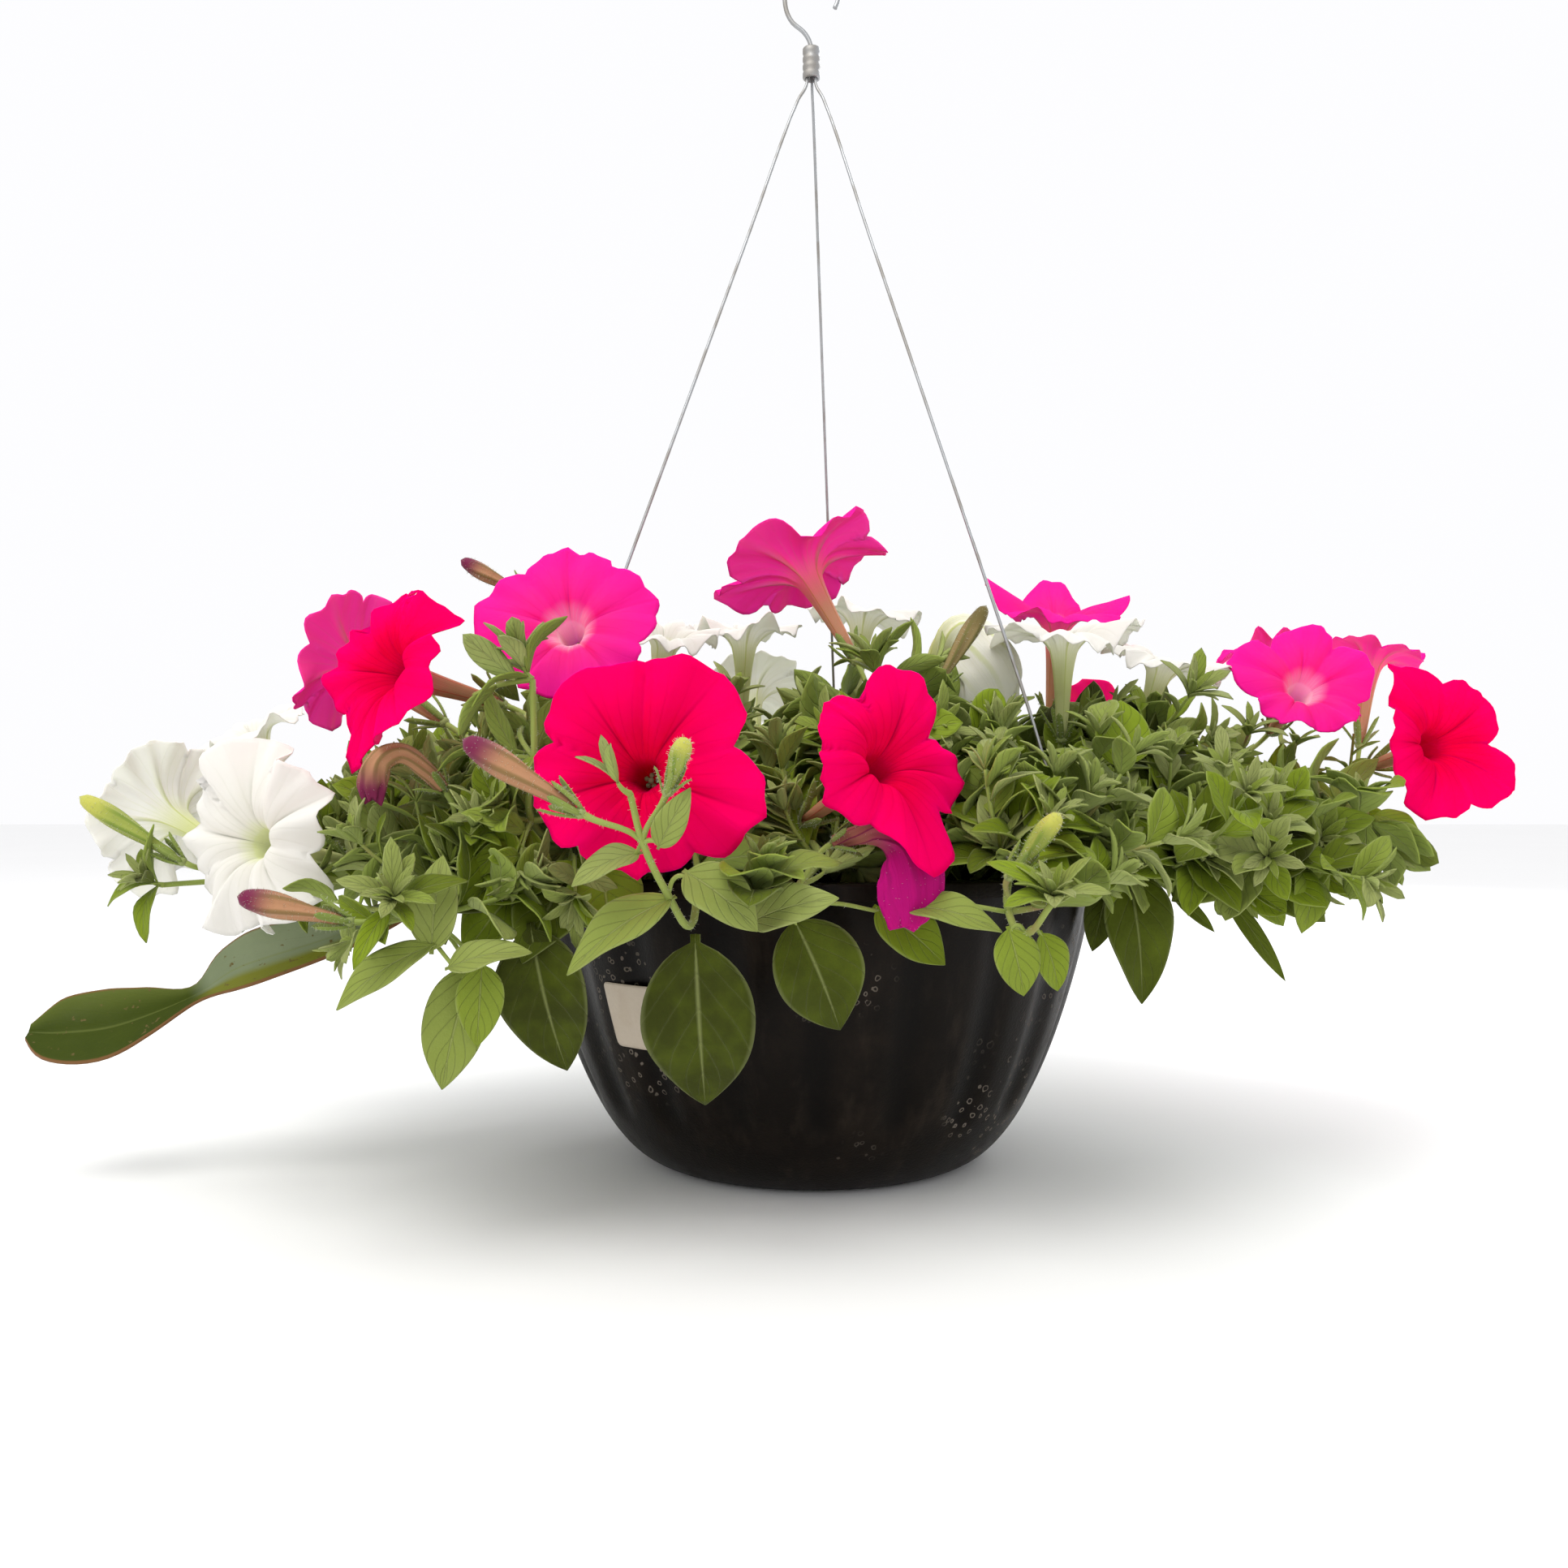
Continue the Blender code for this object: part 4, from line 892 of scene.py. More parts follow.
# The turn of a flower's face, how ruffled it is, how deep its notches are, and the lobes that differ from
# the rest: the share of the radius, how far it bends forward and how far one side swings ahead of the other.
POSES = {
    "flower_red_front": (48, 0.13, 0.17, {
        0: (1.12, -0.14, 0.14), 1: (1.02, 0.06, 0.04), 2: (0.96, -0.1, 0), 3: (0.88, -0.24, 0.08),
        4: (1.12, 0.02, -0.08),
    }),
    "flower_pink_top_left": (90, 0.09, 0.16, {
        0: (0.9, -0.04, 0.03), 1: (1.1, -0.12, 0.04), 2: (0.84, -0.06, 0), 3: (0.9, 0.06, -0.04),
        4: (1, -0.1, 0),
    }),
    "flower_red_left": (60, 0.14, 0.2, {
        0: (0.92, -0.22, 0.1), 1: (0.98, 0.12, 0), 2: (1.1, -0.1, 0.1), 3: (1.08, 0.16, -0.1),
        4: (0.92, -0.26, 0),
    }),
    "flower_pink_left_rear": (80, 0.13, 0.2, {
        0: (1.1, 0, 0.1), 1: (1, -0.22, 0), 3: (1.1, 0.12, 0),
    }),
    "flower_red_centre_right": (96, 0.12, 0.24, {
        0: (1.22, 0.1, 0.05), 1: (0.85, -0.18, 0.1), 2: (0.8, -0.16, 0), 3: (1.28, 0.04, -0.08),
        4: (0.98, -0.12, 0.1),
    }),
    "flower_pink_top": (20, 0.14, 0.2, {
        0: (1, -0.2, 0.1), 2: (1.05, 0.16, 0), 3: (1.1, 0.16, 0.05),
    }),
    "flower_pink_right": (90, 0.13, 0.18, {
        0: (0.95, 0.1, 0), 1: (1.2, 0.05, 0.05), 2: (0.9, 0.22, 0.1), 3: (0.9, 0.26, 0),
        4: (1.1, 0, 0.08),
    }),
    "flower_red_far_right": (52, 0.12, 0.16, {
        0: (0.92, 0.04, 0), 1: (1.14, -0.18, 0.14), 2: (0.84, 0.12, -0.12), 3: (0.98, -0.05, 0.08),
        4: (1.06, 0.08, 0),
    }),
    "flower_pink_right_rear": (90, 0.12, 0.18, {
        0: (1.1, 0.5, 0), 1: (1.1, 0.4, 0.05), 2: (0.9, -0.05, 0), 3: (0.9, -0.05, 0),
        4: (1.1, 0.36, 0.05),
    }),
    "flower_white_left": (70, 0.2, 0.15, {
        0: (1.1, -0.16, 0.12), 3: (1.1, -0.22, -0.1),
    }),
    "flower_white_far_left": (10, 0.2, 0.15, {
        1: (1, -0.2, 0.1), 4: (1.1, -0.15, 0),
    }),
}
LIMP = ("flower_wilted_front", "flower_white_drooping", "bud_wilted_left")
flowers = sorted(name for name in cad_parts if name.startswith("flower_") and name not in LIMP)
keep_clear = []
heads = {}


def calyx(bm, foot, facing, size, rng, index, splay=0.55):
    """Adds five narrow sepals that hold the tube and turn out at their tips."""
    start_turn = rng.uniform(0, math.tau)
    aside = facing.orthogonal().normalized()
    green = sheets()
    for i in range(LOBES):
        out = Matrix.Rotation(start_turn + i * math.tau / LOBES, 3, facing) @ aside
        way = (facing + out * rng.uniform(0.25, splay)).normalized()
        length = size * rng.uniform(0.85, 1.15)
        blade(green, foot + out * CALYX_RADIUS - facing * 0.001, way, -out, length, size * SEPAL_WIDTH,
              across=2, along=8, fold=0.4, arch=-0.05, droop=rng.uniform(-0.10, 0.30), tint=rng.random(),
              shape=(0.30, 0.28))
    joined(bm, thickened(green, (sepal, sepal), SEPAL_THICKNESS), index)


def ball(radius, centre):
    bm = bmesh.new()
    bmesh.ops.create_icosphere(bm, subdivisions=2, radius=radius, matrix=Matrix.Translation(centre))
    return bm


def swollen_foot(bm, foot, radius, index):
    """Adds the green knob in which a flower's or a bud's stalk ends."""
    base = bmesh.new()
    bmesh.ops.create_uvsphere(
        base, u_segments=12, v_segments=8, radius=radius, matrix=Matrix.Translation(foot)
    )
    joined(bm, base, index)


def standing(foot, facing):
    """The placement that stands a form made along +Z on its foot, looking the way it faces."""
    return Matrix.Translation(foot) @ Vector((0, 0, 1)).rotation_difference(facing).to_matrix().to_4x4()


ANTHER_DEPTH = 0.018
for number, name in enumerate(flowers):
    foot, facing, radius, length = turned_form(name)
    tube = length - 0.011
    kind = name.split("_")[1]
    rng = random.Random(40 + number)
    lobes = {
        i: (rng.uniform(0.94, 1.08), rng.uniform(-0.16, 0.08), rng.uniform(-0.10, 0.10))
        for i in range(LOBES)
    }
    own_pose = (rng.uniform(0, 72), 0.18 if kind == "white" else 0.14, 0.17, {})
    turn, ruffled, notch, own = POSES.get(name, own_pose)
    uncut = 0 if name == "flower_red_front" else None
    petals = petal_sheet(radius, tube, number * 7.3, ruffled, {**lobes, **own}, notch, uncut)
    place = standing(foot, facing) @ Matrix.Rotation(math.radians(turn), 4, "Z")
    bmesh.ops.transform(petals, verts=petals.verts, matrix=place)
    petals.verts.layers.float.new("tint")
    flower = thickened(petals, PETALS[kind], PETAL_THICKNESS)
    calyx(flower, foot, facing, 0.019, rng, 2)
    stigma = foot + facing * tube - facing * ANTHER_DEPTH
    joined(flower, ball(0.0014, stigma), 3)
    column = facing.orthogonal().normalized()
    for i in range(1, 6):
        aside = Matrix.Rotation(i * math.tau / 5, 3, facing) @ column * 0.0022
        joined(flower, ball(0.0011, stigma + aside - facing * 0.0015 * (i % 3)), 3)
    swollen_foot(flower, foot, 0.0027, 2)
    hairs_on(flower, {2}, 260, 0.0012, 4, rng)
    heads[name] = (foot, facing)
    keep_clear.append((foot, facing, radius, tube))
    face_skin, back_skin = PETALS[kind]
    piece = piece_from("petunia_" + name[7:], flower, face_skin, back_skin, sepal, anther, down)
    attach(piece, "root")
    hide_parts(name)


# Root balls: the four plugs the young plants came in, each a tapered block of peat matted with pale roots.
# They are pressed into the soil, and only their tops show.
fibre, tree, shader = finish_named("root_fibre", roughness=0.95)
weave = noisy(tree, 420, 5, None, 0.8)
colour = mixed(tree, ranged(tree, weave, 0.40, 0.66), (0.030, 0.018, 0.011), (0.46, 0.39, 0.28))
feed(tree, shader, "Base Color", colour)
bumped(tree, shader, weave, 1.0, 0.001)
PLUG_ROOTS = 500

for number, corner in enumerate(("front_left", "front_right", "back_left", "back_right")):
    low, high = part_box("root_ball_" + corner)
    middle = (low + high) / 2
    top_radius = (high.x - low.x) / 2
    rounded = [(0.0, low.z), (0.60, low.z), (0.72, low.z + 0.0015), (0.745, low.z + 0.004)]
    straight = high.z - low.z - 0.008
    rounded += [(0.75 + 0.235 * i / 14, low.z + 0.004 + straight * i / 14) for i in range(1, 15)]
    rounded += [(0.98, high.z - 0.0015), (0.90, high.z)]
    rounded += [(0.90 * (1 - i / 8), high.z) for i in range(1, 9)]
    bm = turned([(share * top_radius, height) for share, height in rounded], 56)
    for point in bm.verts:
        worn = 1 - 0.045 * (0.5 + ruffle(point.co, number * 3.0, 260))
        height = max(point.co.z - (1 - worn) * 0.012, low.z)
        point.co = (point.co.x * worn + middle.x, point.co.y * worn + middle.y, height)
    hairs_on(bm, {0}, PLUG_ROOTS, 0.0016, 1, random.Random(200 + number))
    plug = piece_from("root_ball_matted_" + corner, bm, fibre, down)
    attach(plug, "root")
    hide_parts("root_ball_" + corner)


# Buds: a furled trumpet, twisted like a closed umbrella, swollen above the middle, with five long sepals.
# The red and pink ones are tan below and dark wine at the tip; the white ones are yellow-green all over.
BUD_RINGS = 22
BUD_STEPS = 40
BUD_TWIST = 1.1


def bud_finish(name, tube, rib, tip):
    material, tree, shader = finish_named(name, roughness=0.66, Sheen_Weight=0.10, Specular_IOR_Level=0.25)
    _, _, out, fold = veined(tree, 2, 2, 6, 0.0)
    colour = mixed(tree, ranged(tree, fold, 0.55, 0.0), tube, rib)
    feed(tree, shader, "Base Color", mixed(tree, ranged(tree, out, 0.62, 0.90), colour, tip))
    bumped(tree, shader, noisy(tree, 700, 3), 0.3, 0.0004)
    return material


BUD_SKINS = {
    "wine": bud_finish("wine_bud_skin", (0.40, 0.20, 0.10), (0.22, 0.13, 0.045), (0.15, 0.004, 0.045)),
    "green": bud_finish("green_bud_skin", (0.28, 0.33, 0.06), (0.17, 0.24, 0.03), (0.46, 0.46, 0.08)),
    "tan": bud_finish("tan_bud_skin", (0.30, 0.22, 0.09), (0.17, 0.15, 0.04), (0.14, 0.11, 0.03)),
}


def furled(outline, steps, ribs, twist, depth):
    """A closed turned form along +Z, pleated into ribs that wind round it."""
    bm = turned(outline, steps)
    length = outline[-1][1]
    bm.verts.layers.float.new("tint")
    marks = {}
    for point in bm.verts:
        share = min(max(point.co.z / length, 0), 1)
        turn = math.atan2(point.co.y, point.co.x) + twist * share
        wave = math.cos(ribs * turn)
        marks[point] = (0.5 - 0.5 * wave, share)
        pleat = 1 + depth * wave * math.sin(math.pi * min(share * 1.15, 1)) ** 0.6
        point.co.x *= pleat
        point.co.y *= pleat
    marked(bm, marks)
    return bm


for number, name in enumerate(sorted(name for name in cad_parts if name.startswith("bud_"))):
    if name in LIMP:
        continue
    foot, facing, radius, length = turned_form(name)
    rng = random.Random(90 + number)
    kind = "wine" if "red" in name or "pink" in name else "tan" if "olive" in name else "green"
    outline = [(0, 0)]
    for i in range(1, BUD_RINGS):
        share = i / BUD_RINGS
        rise = min(max((share - 0.15) / 0.62, 0), 1)
        swell = 0.46 + 0.54 * rise * rise * (3 - 2 * rise)
        outline.append((radius * swell * math.sqrt(1 - share**8) * min(1, share * 9), length * share))
    bud = furled(outline + [(0, length)], BUD_STEPS, LOBES, BUD_TWIST, 0.13)
    bmesh.ops.transform(bud, verts=bud.verts, matrix=standing(foot, facing))
    calyx(bud, foot, facing, min(0.016, 0.5 * length), rng, 1, splay=0.42)
    swollen_foot(bud, foot, 0.0023, 1)
    hairs_on(bud, {0}, 320, 0.0013, 2, rng)
    hairs_on(bud, {1}, 240, 0.0012, 2, rng)
    heads[name] = (foot, facing)
    piece = piece_from("petunia_" + name, bud, BUD_SKINS[kind], sepal, down)
    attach(piece, "root")
    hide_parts(name)


# Faded flowers: the tube has gone soft and the wet limb hangs from it, stuck to itself in pleats. Each is
# pleated cloth-like round a line from the calyx over the bend and down to its ragged tip.
# Each: its petals' colour, its slot, and stations of place, half width and half thickness, in millimetres.
FADED = {
    "flower_wilted_front": ("faded", "faded_petal", (
        (6, -163, 165.5, 3, 3), (14, -169, 168.5, 3.8, 3.8), (24, -176, 170, 5.2, 5),
        (33, -181, 165, 8.5, 5.5), (36, -183, 154, 13, 4.8), (35, -183, 142, 12.2, 3.6),
        (33, -182, 133, 6, 2),
    )),
    "flower_white_drooping": ("white", "white_petal", (
        (58, 12, 229, 3, 3), (62, 6, 244, 4, 4), (69, 0, 260, 7, 5), (79, -5, 264, 14, 6),
        (88, -9, 251, 19, 5), (92, -11, 237, 17, 4), (94, -12, 225, 8, 2),
    )),
    "bud_wilted_left": ("faded", "faded_petal", (
        (-155, -152, 187, 3, 3), (-162, -155, 195, 3.5, 3.5), (-171, -158, 202, 4, 4),
        (-179, -161, 199, 5, 3.4), (-182, -162, 190, 6, 2.8), (-182, -162, 183, 3, 1.5),
    )),
}
PLEATS = 7
LIMP_ROWS, LIMP_STEPS = 34, 84


def metres(numbers):
    return [number / 1000 for number in numbers]


def along_line(points, share):
    """A point of a Catmull-Rom curve through the points, which may carry more numbers than a place."""
    span = share * (len(points) - 1)
    i = min(int(span), len(points) - 2)
    t = span - i
    a, b, c, d = (np.array(points[min(max(j, 0), len(points) - 1)]) for j in (i - 1, i, i + 1, i + 2))
    return 0.5 * (2 * b + (c - a) * t + (2 * a - 5 * b + 4 * c - d) * t**2 + (3 * b - a - 3 * c + d) * t**3)


for number, (name, (kind, finish, stations)) in enumerate(FADED.items()):
    line = [metres(station) for station in stations]
    outline = [(0, 0)] + [(1, i / LIMP_ROWS) for i in range(1, LIMP_ROWS)] + [(0, 1)]
    bm = furled(outline, LIMP_STEPS, PLEATS, 1.6, 0.10)
    for point in bm.verts:
        share = point.co.z
        spot = along_line(line, share)
        ahead, behind = along_line(line, min(share + 0.02, 1)), along_line(line, max(share - 0.02, 0))
        along = Vector(ahead[:3] - behind[:3]).normalized()
        across = Vector((0.3, -1, 0)).cross(along).normalized()
        over = along.cross(across).normalized()
        crumple = 1 + 0.22 * ruffle(Vector((point.co.x, point.co.y, share * 4)), number * 5, 2.2) * share
        point.co = (
            Vector(spot[:3])
            + across * (point.co.x * spot[3] * crumple)
            + over * (point.co.y * spot[4] * crumple)
            - along * (0.004 * abs(point.co.x) * share**4 * math.sin(9 * point.co.x + number))
        )
    foot = Vector(line[0][:3])
    facing = (Vector(line[1][:3]) - foot).normalized()
    rng = random.Random(120 + number)
    calyx(bm, foot, facing, 0.015, rng, 1)
    hairs_on(bm, {0}, 160, 0.0010, 2, rng)
    hairs_on(bm, {1}, 200, 0.0012, 2, rng)
    heads[name] = (foot, facing)
    skin = BUD_SKINS["wine"] if name.startswith("bud_") else PETALS[kind][1]
    piece = piece_from("petunia_" + name.replace("flower_", ""), bm, skin, sepal, down)
    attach(piece, "root")
    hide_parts(name)


# Broad leaf: one thick smooth waxy leaf with a waist, held out at the far left on a short stalk, dull olive
# above and glossier than the petunia's own. It is grown, so it has no seams or fixings.
# Stations of its middle line, from foot to tip: place and half width, in millimetres.
BROAD_MM = (
    (-154, 6, 155, 2), (-178, -18, 143, 3), (-210, -38, 124, 8), (-240, -46, 113, 13),
    (-266, -52, 105, 16), (-281, -54, 99, 13), (-297, -56, 88, 5), (-318, -58, 79, 14),
    (-338, -61, 73, 20), (-360, -63, 71, 17), (-374, -63, 71, 4),
)
BROAD = [metres(station) for station in BROAD_MM]
BROAD_THICKNESS = 0.0016

waxy, tree, shader = finish_named("waxy_leaf", roughness=0.45, Specular_IOR_Level=0.07)
midrib, side, out, fold = veined(tree, 9, 3, 7, 0.0)
edge_side = node(tree, "ShaderNodeAttribute", attribute_name="tint").outputs["Fac"]
inner = mixed(tree, noisy(tree, 30, 4), (0.150, 0.185, 0.100), (0.240, 0.280, 0.170))
inner = mixed(tree, ranged(tree, edge_side, 0.42, 0.22), inner, (0.16, 0.17, 0.020))
outer = mixed(tree, noisy(tree, 30, 4), (0.024, 0.040, 0.002), (0.055, 0.075, 0.005))
# Painted light: the half of the dark tip lobe towards one long edge is painted paler, where light falls on
# that half.
painted_light_side = times(tree, ranged(tree, edge_side, 0.60, 1.0), 0.6)
outer = mixed(tree, painted_light_side, outer, (0.12, 0.15, 0.03))
colour = mixed(tree, ranged(tree, out, 0.55, 0.62), inner, outer)
colour = mixed(tree, times(tree, midrib, 0.35), colour, (0.17, 0.20, 0.05))
colour = mixed(tree, ranged(tree, fold, 0.93, 1.0), colour, (0.20, 0.10, 0.04))
specks = ranged(tree, noisy(tree, 260, 2), 0.66, 0.74)
feed(tree, shader, "Base Color", mixed(tree, specks, colour, (0.12, 0.09, 0.03)))
feed(tree, shader, "Roughness", ranged(tree, noisy(tree, 80, 3), 0.2, 0.8, 0.34, 0.52))
bumped(tree, shader, plus(tree, noisy(tree, 300, 3), times(tree, side, 0.3)), 0.2, 0.0008)

bm = bmesh.new()
bmesh.ops.create_grid(bm, x_segments=14, y_segments=56, size=0.5)
shade = bm.verts.layers.float.new("tint")
marks = {}
for point in bm.verts:
    u, v = point.co.x * 2, point.co.y + 0.5
    marks[point] = (abs(u), v)
    point[shade] = (u + 1) / 2
    spot = along_line(BROAD, v)
    ahead, behind = along_line(BROAD, min(v + 0.02, 1)), along_line(BROAD, max(v - 0.02, 0))
    along = Vector(ahead[:3] - behind[:3]).normalized()
    across = along.cross(Vector((0, -0.75, 0.66))).normalized()
    rise = across.cross(along).normalized()
    half = max(spot[3], 0.0012)
    cup = 0.22 * u * u + 0.05 * math.sin(v * 21) * u * u - 0.05 * math.exp(-((u / 0.09) ** 2))
    point.co = Vector(spot[:3]) + across * (u * half) + rise * (cup * half)
marked(bm, marks)
broad = piece_from("broad_waxy_leaf", bm, waxy)
wall = broad.modifiers.new("thickness", "SOLIDIFY")
wall.thickness = BROAD_THICKNESS
wall.offset = 0
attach(broad, "root")
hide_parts("leaf_broad_far_left")


# Shoots: round hairy stems that run out over the rim and turn up at their tips. They bear soft, sticky,
# velvety leaves at each joint, side shoots that end in tufts of narrow young leaves, and the flower stalks.
STEM_RADIUS = 0.0019
STEM_TAPER = 0.06
STALK_RADIUS = 0.0011
SIDE_STEM_RADIUS = 0.0014
LEAF_STALK = (0.0010, 0.0009, 0.0008)
LEAF_THICKNESS = 0.0006
GOLDEN_TURN = math.radians(137.5)


def leaf_finish(name, old_and_shaded, mid, young, vein, margin, rough):
    material, tree, shader = finish_named(name, roughness=rough, Sheen_Weight=0.04, Specular_IOR_Level=0.12)
    midrib, side, _, fold = veined(tree, 5.2, 2.2, 9.0, 0.0)
    tint = node(tree, "ShaderNodeAttribute", attribute_name="tint").outputs["Fac"]
    # The darkest end of the tint is partly older leaves' own deeper olive and partly painted shade, for
    # leaves deep in the mass and under the overhang.
    colour = mixed(tree, ranged(tree, tint, 0.0, 0.5), old_and_shaded, mid)
    colour = mixed(tree, ranged(tree, tint, 0.5, 1.0), colour, young)
    patches = ranged(tree, noisy(tree, 75, 4), 0.35, 0.75)
    colour = mixed(tree, times(tree, patches, 0.18), colour, mid)
    colour = mixed(tree, times(tree, side, 0.12), colour, vein)
    colour = mixed(tree, times(tree, midrib, 0.38), colour, vein)
    colour = mixed(tree, times(tree, ranged(tree, fold, 0.90, 1.0), 0.18), colour, margin)
    feed(tree, shader, "Base Color", colour)
    quilt = plus(tree, times(tree, noisy(tree, 380, 4), 0.6), times(tree, side, -0.8))
    bumped(tree, shader, minus(tree, quilt, midrib), 0.65, 0.0009)
    return material


LEAF_FINISHES = (
    leaf_finish("leaf_upper", (0.030, 0.037, 0.001), (0.182, 0.252, 0.010), (0.265, 0.296, 0.100),
                (0.36, 0.40, 0.15), (0.44, 0.48, 0.22), 0.62),
    leaf_finish("leaf_underside", (0.12, 0.15, 0.02), (0.24, 0.31, 0.06), (0.38, 0.44, 0.15),
                (0.42, 0.46, 0.19), (0.46, 0.48, 0.24), 0.72),
)
stem_green, tree, shader = finish_named(
    "stem_green", roughness=0.6, Sheen_Weight=0.10, Specular_IOR_Level=0.3,
)
colour = mixed(tree, noisy(tree, 60, 3), (0.19, 0.26, 0.035), (0.34, 0.40, 0.10))
flushed = ranged(tree, noisy(tree, 25, 2), 0.60, 0.75)
feed(tree, shader, "Base Color", mixed(tree, flushed, colour, (0.28, 0.16, 0.08)))
bumped(tree, shader, noisy(tree, 900, 2), 0.25, 0.0003)

# Each shoot: its joints from the crown to the tip in millimetres, and the heads it bears with their joint.
SHOOTS = {
    "front": (
        (
            (-50, -62, 135), (-50, -105, 156), (-50, -155, 154.5), (-51, -187, 134), (-58, -208, 148),
            (-66, -222, 168), (-70, -228, 186),
        ),
        (
            (1, "flower_red_front"), (5, "bud_red_left"), (5, "bud_green_front"),
        ),
    ),
    "left_tall": (
        (
            (-66, -58, 135), (-85, -90, 160), (-105, -128, 164), (-119, -152, 174), (-116, -163, 200),
            (-116.5, -164, 232),
        ),
        (
            (2, "flower_pink_left_rear"), (4, "flower_red_left"),
        ),
    ),
    "left_low": (
        (
            (-71, -46, 135), (-102, -74, 156), (-136, -112, 158), (-153, -148, 146), (-161, -175, 137),
            (-166, -195, 142), (-168, -203, 154),
        ),
        (
            (3, "bud_wilted_left"), (4, "bud_red_low_left"),
        ),
    ),
    "far_left": (
        (
            (-76, 42, 135), (-120, 30, 164), (-170, 0, 172), (-208, -40, 162), (-240, -68, 152),
            (-268, -88, 146), (-294, -100, 144),
        ),
        (
            (3, "flower_white_left"), (4, "flower_white_far_left"), (5, "bud_white_far_left"),
        ),
    ),
    "left_rear": (
        (
            (-68, 64, 135), (-118, 82, 172), (-180, 75, 188), (-235, 58, 182), (-272, 52, 164),
            (-290, 56, 150),
        ),
        (
            (3, "flower_white_left_rear"),
        ),
    ),
    "top_left": (
        (
            (-58, -36, 135), (-82, -26, 172), (-104, -8, 202), (-120, 6, 226), (-128, 12, 242),
        ),
        (
            (2, "flower_pink_top_left"), (3, "bud_pink_top_left"),
        ),
    ),
    "top_centre": (
        (
            (48, -42, 135), (40, -52, 170), (30, -60, 202), (30, -66, 222), (30, -70, 240),
        ),
        (
            (2, "flower_pink_top"), (1, "bud_olive_top"),
        ),
    ),
    "front_right": (
        (
            (48, -60, 135), (30, -92, 160), (4, -132, 156), (-8, -168, 149), (-16, -184, 140),
            (-26, -194, 144),
        ),
        (
            (1, "flower_red_centre_right"), (3, "flower_wilted_front"),
        ),
    ),
    "right_low": (
        (
            (70, -58, 135), (84, -98, 159), (81, -142, 156), (76, -170, 138), (80, -188, 131),
            (88, -200, 144),
        ),
        (
            (3, "bud_yellow_right"),
        ),
    ),
    "right_trailing": (
        (
            (80, -40, 135), (106, -48, 156), (136, -60, 156), (164, -62, 148), (205, -62, 152),
            (235, -60, 162), (262, -56, 174),
        ),
        (),
    ),
    "far_right": (
        (
            (70, 52, 135), (110, 52, 168), (160, 48, 182), (212, 44, 180), (252, 38, 176),
            (285, 30, 170), (310, 20, 166),
        ),
        (
            (3, "flower_pink_right"), (5, "flower_red_far_right"), (4, "flower_pink_rear_small"),
            (5, "flower_pink_far_right_rear"),
        ),
    ),
    "right_top": (
        (
            (64, 48, 135), (86, 30, 168), (112, 12, 186), (140, 8, 196), (158, 4, 204),
        ),
        (
            (2, "flower_white_right"), (3, "flower_white_right_rear"), (1, "flower_white_drooping"),
            (2, "flower_pink_right_rear"),
        ),
    ),
    "back_left": (
        (
            (-52, 70, 135), (-62, 100, 165), (-84, 150, 172), (-104, 192, 156), (-116, 222, 132),
            (-122, 240, 108),
        ),
        (
            (1, "flower_white_behind"), (1, "flower_white_centre_rear"), (3, "flower_pink_back_left"),
            (2, "flower_white_back"),
        ),
    ),
    "back_right": (
        (
            (50, 76, 135), (62, 110, 166), (84, 152, 170), (106, 190, 154), (120, 222, 130),
            (128, 242, 108),
        ),
        (
            (1, "flower_white_top_rear"), (3, "flower_white_back_right"), (2, "flower_red_back_right"),
        ),
    ),
}
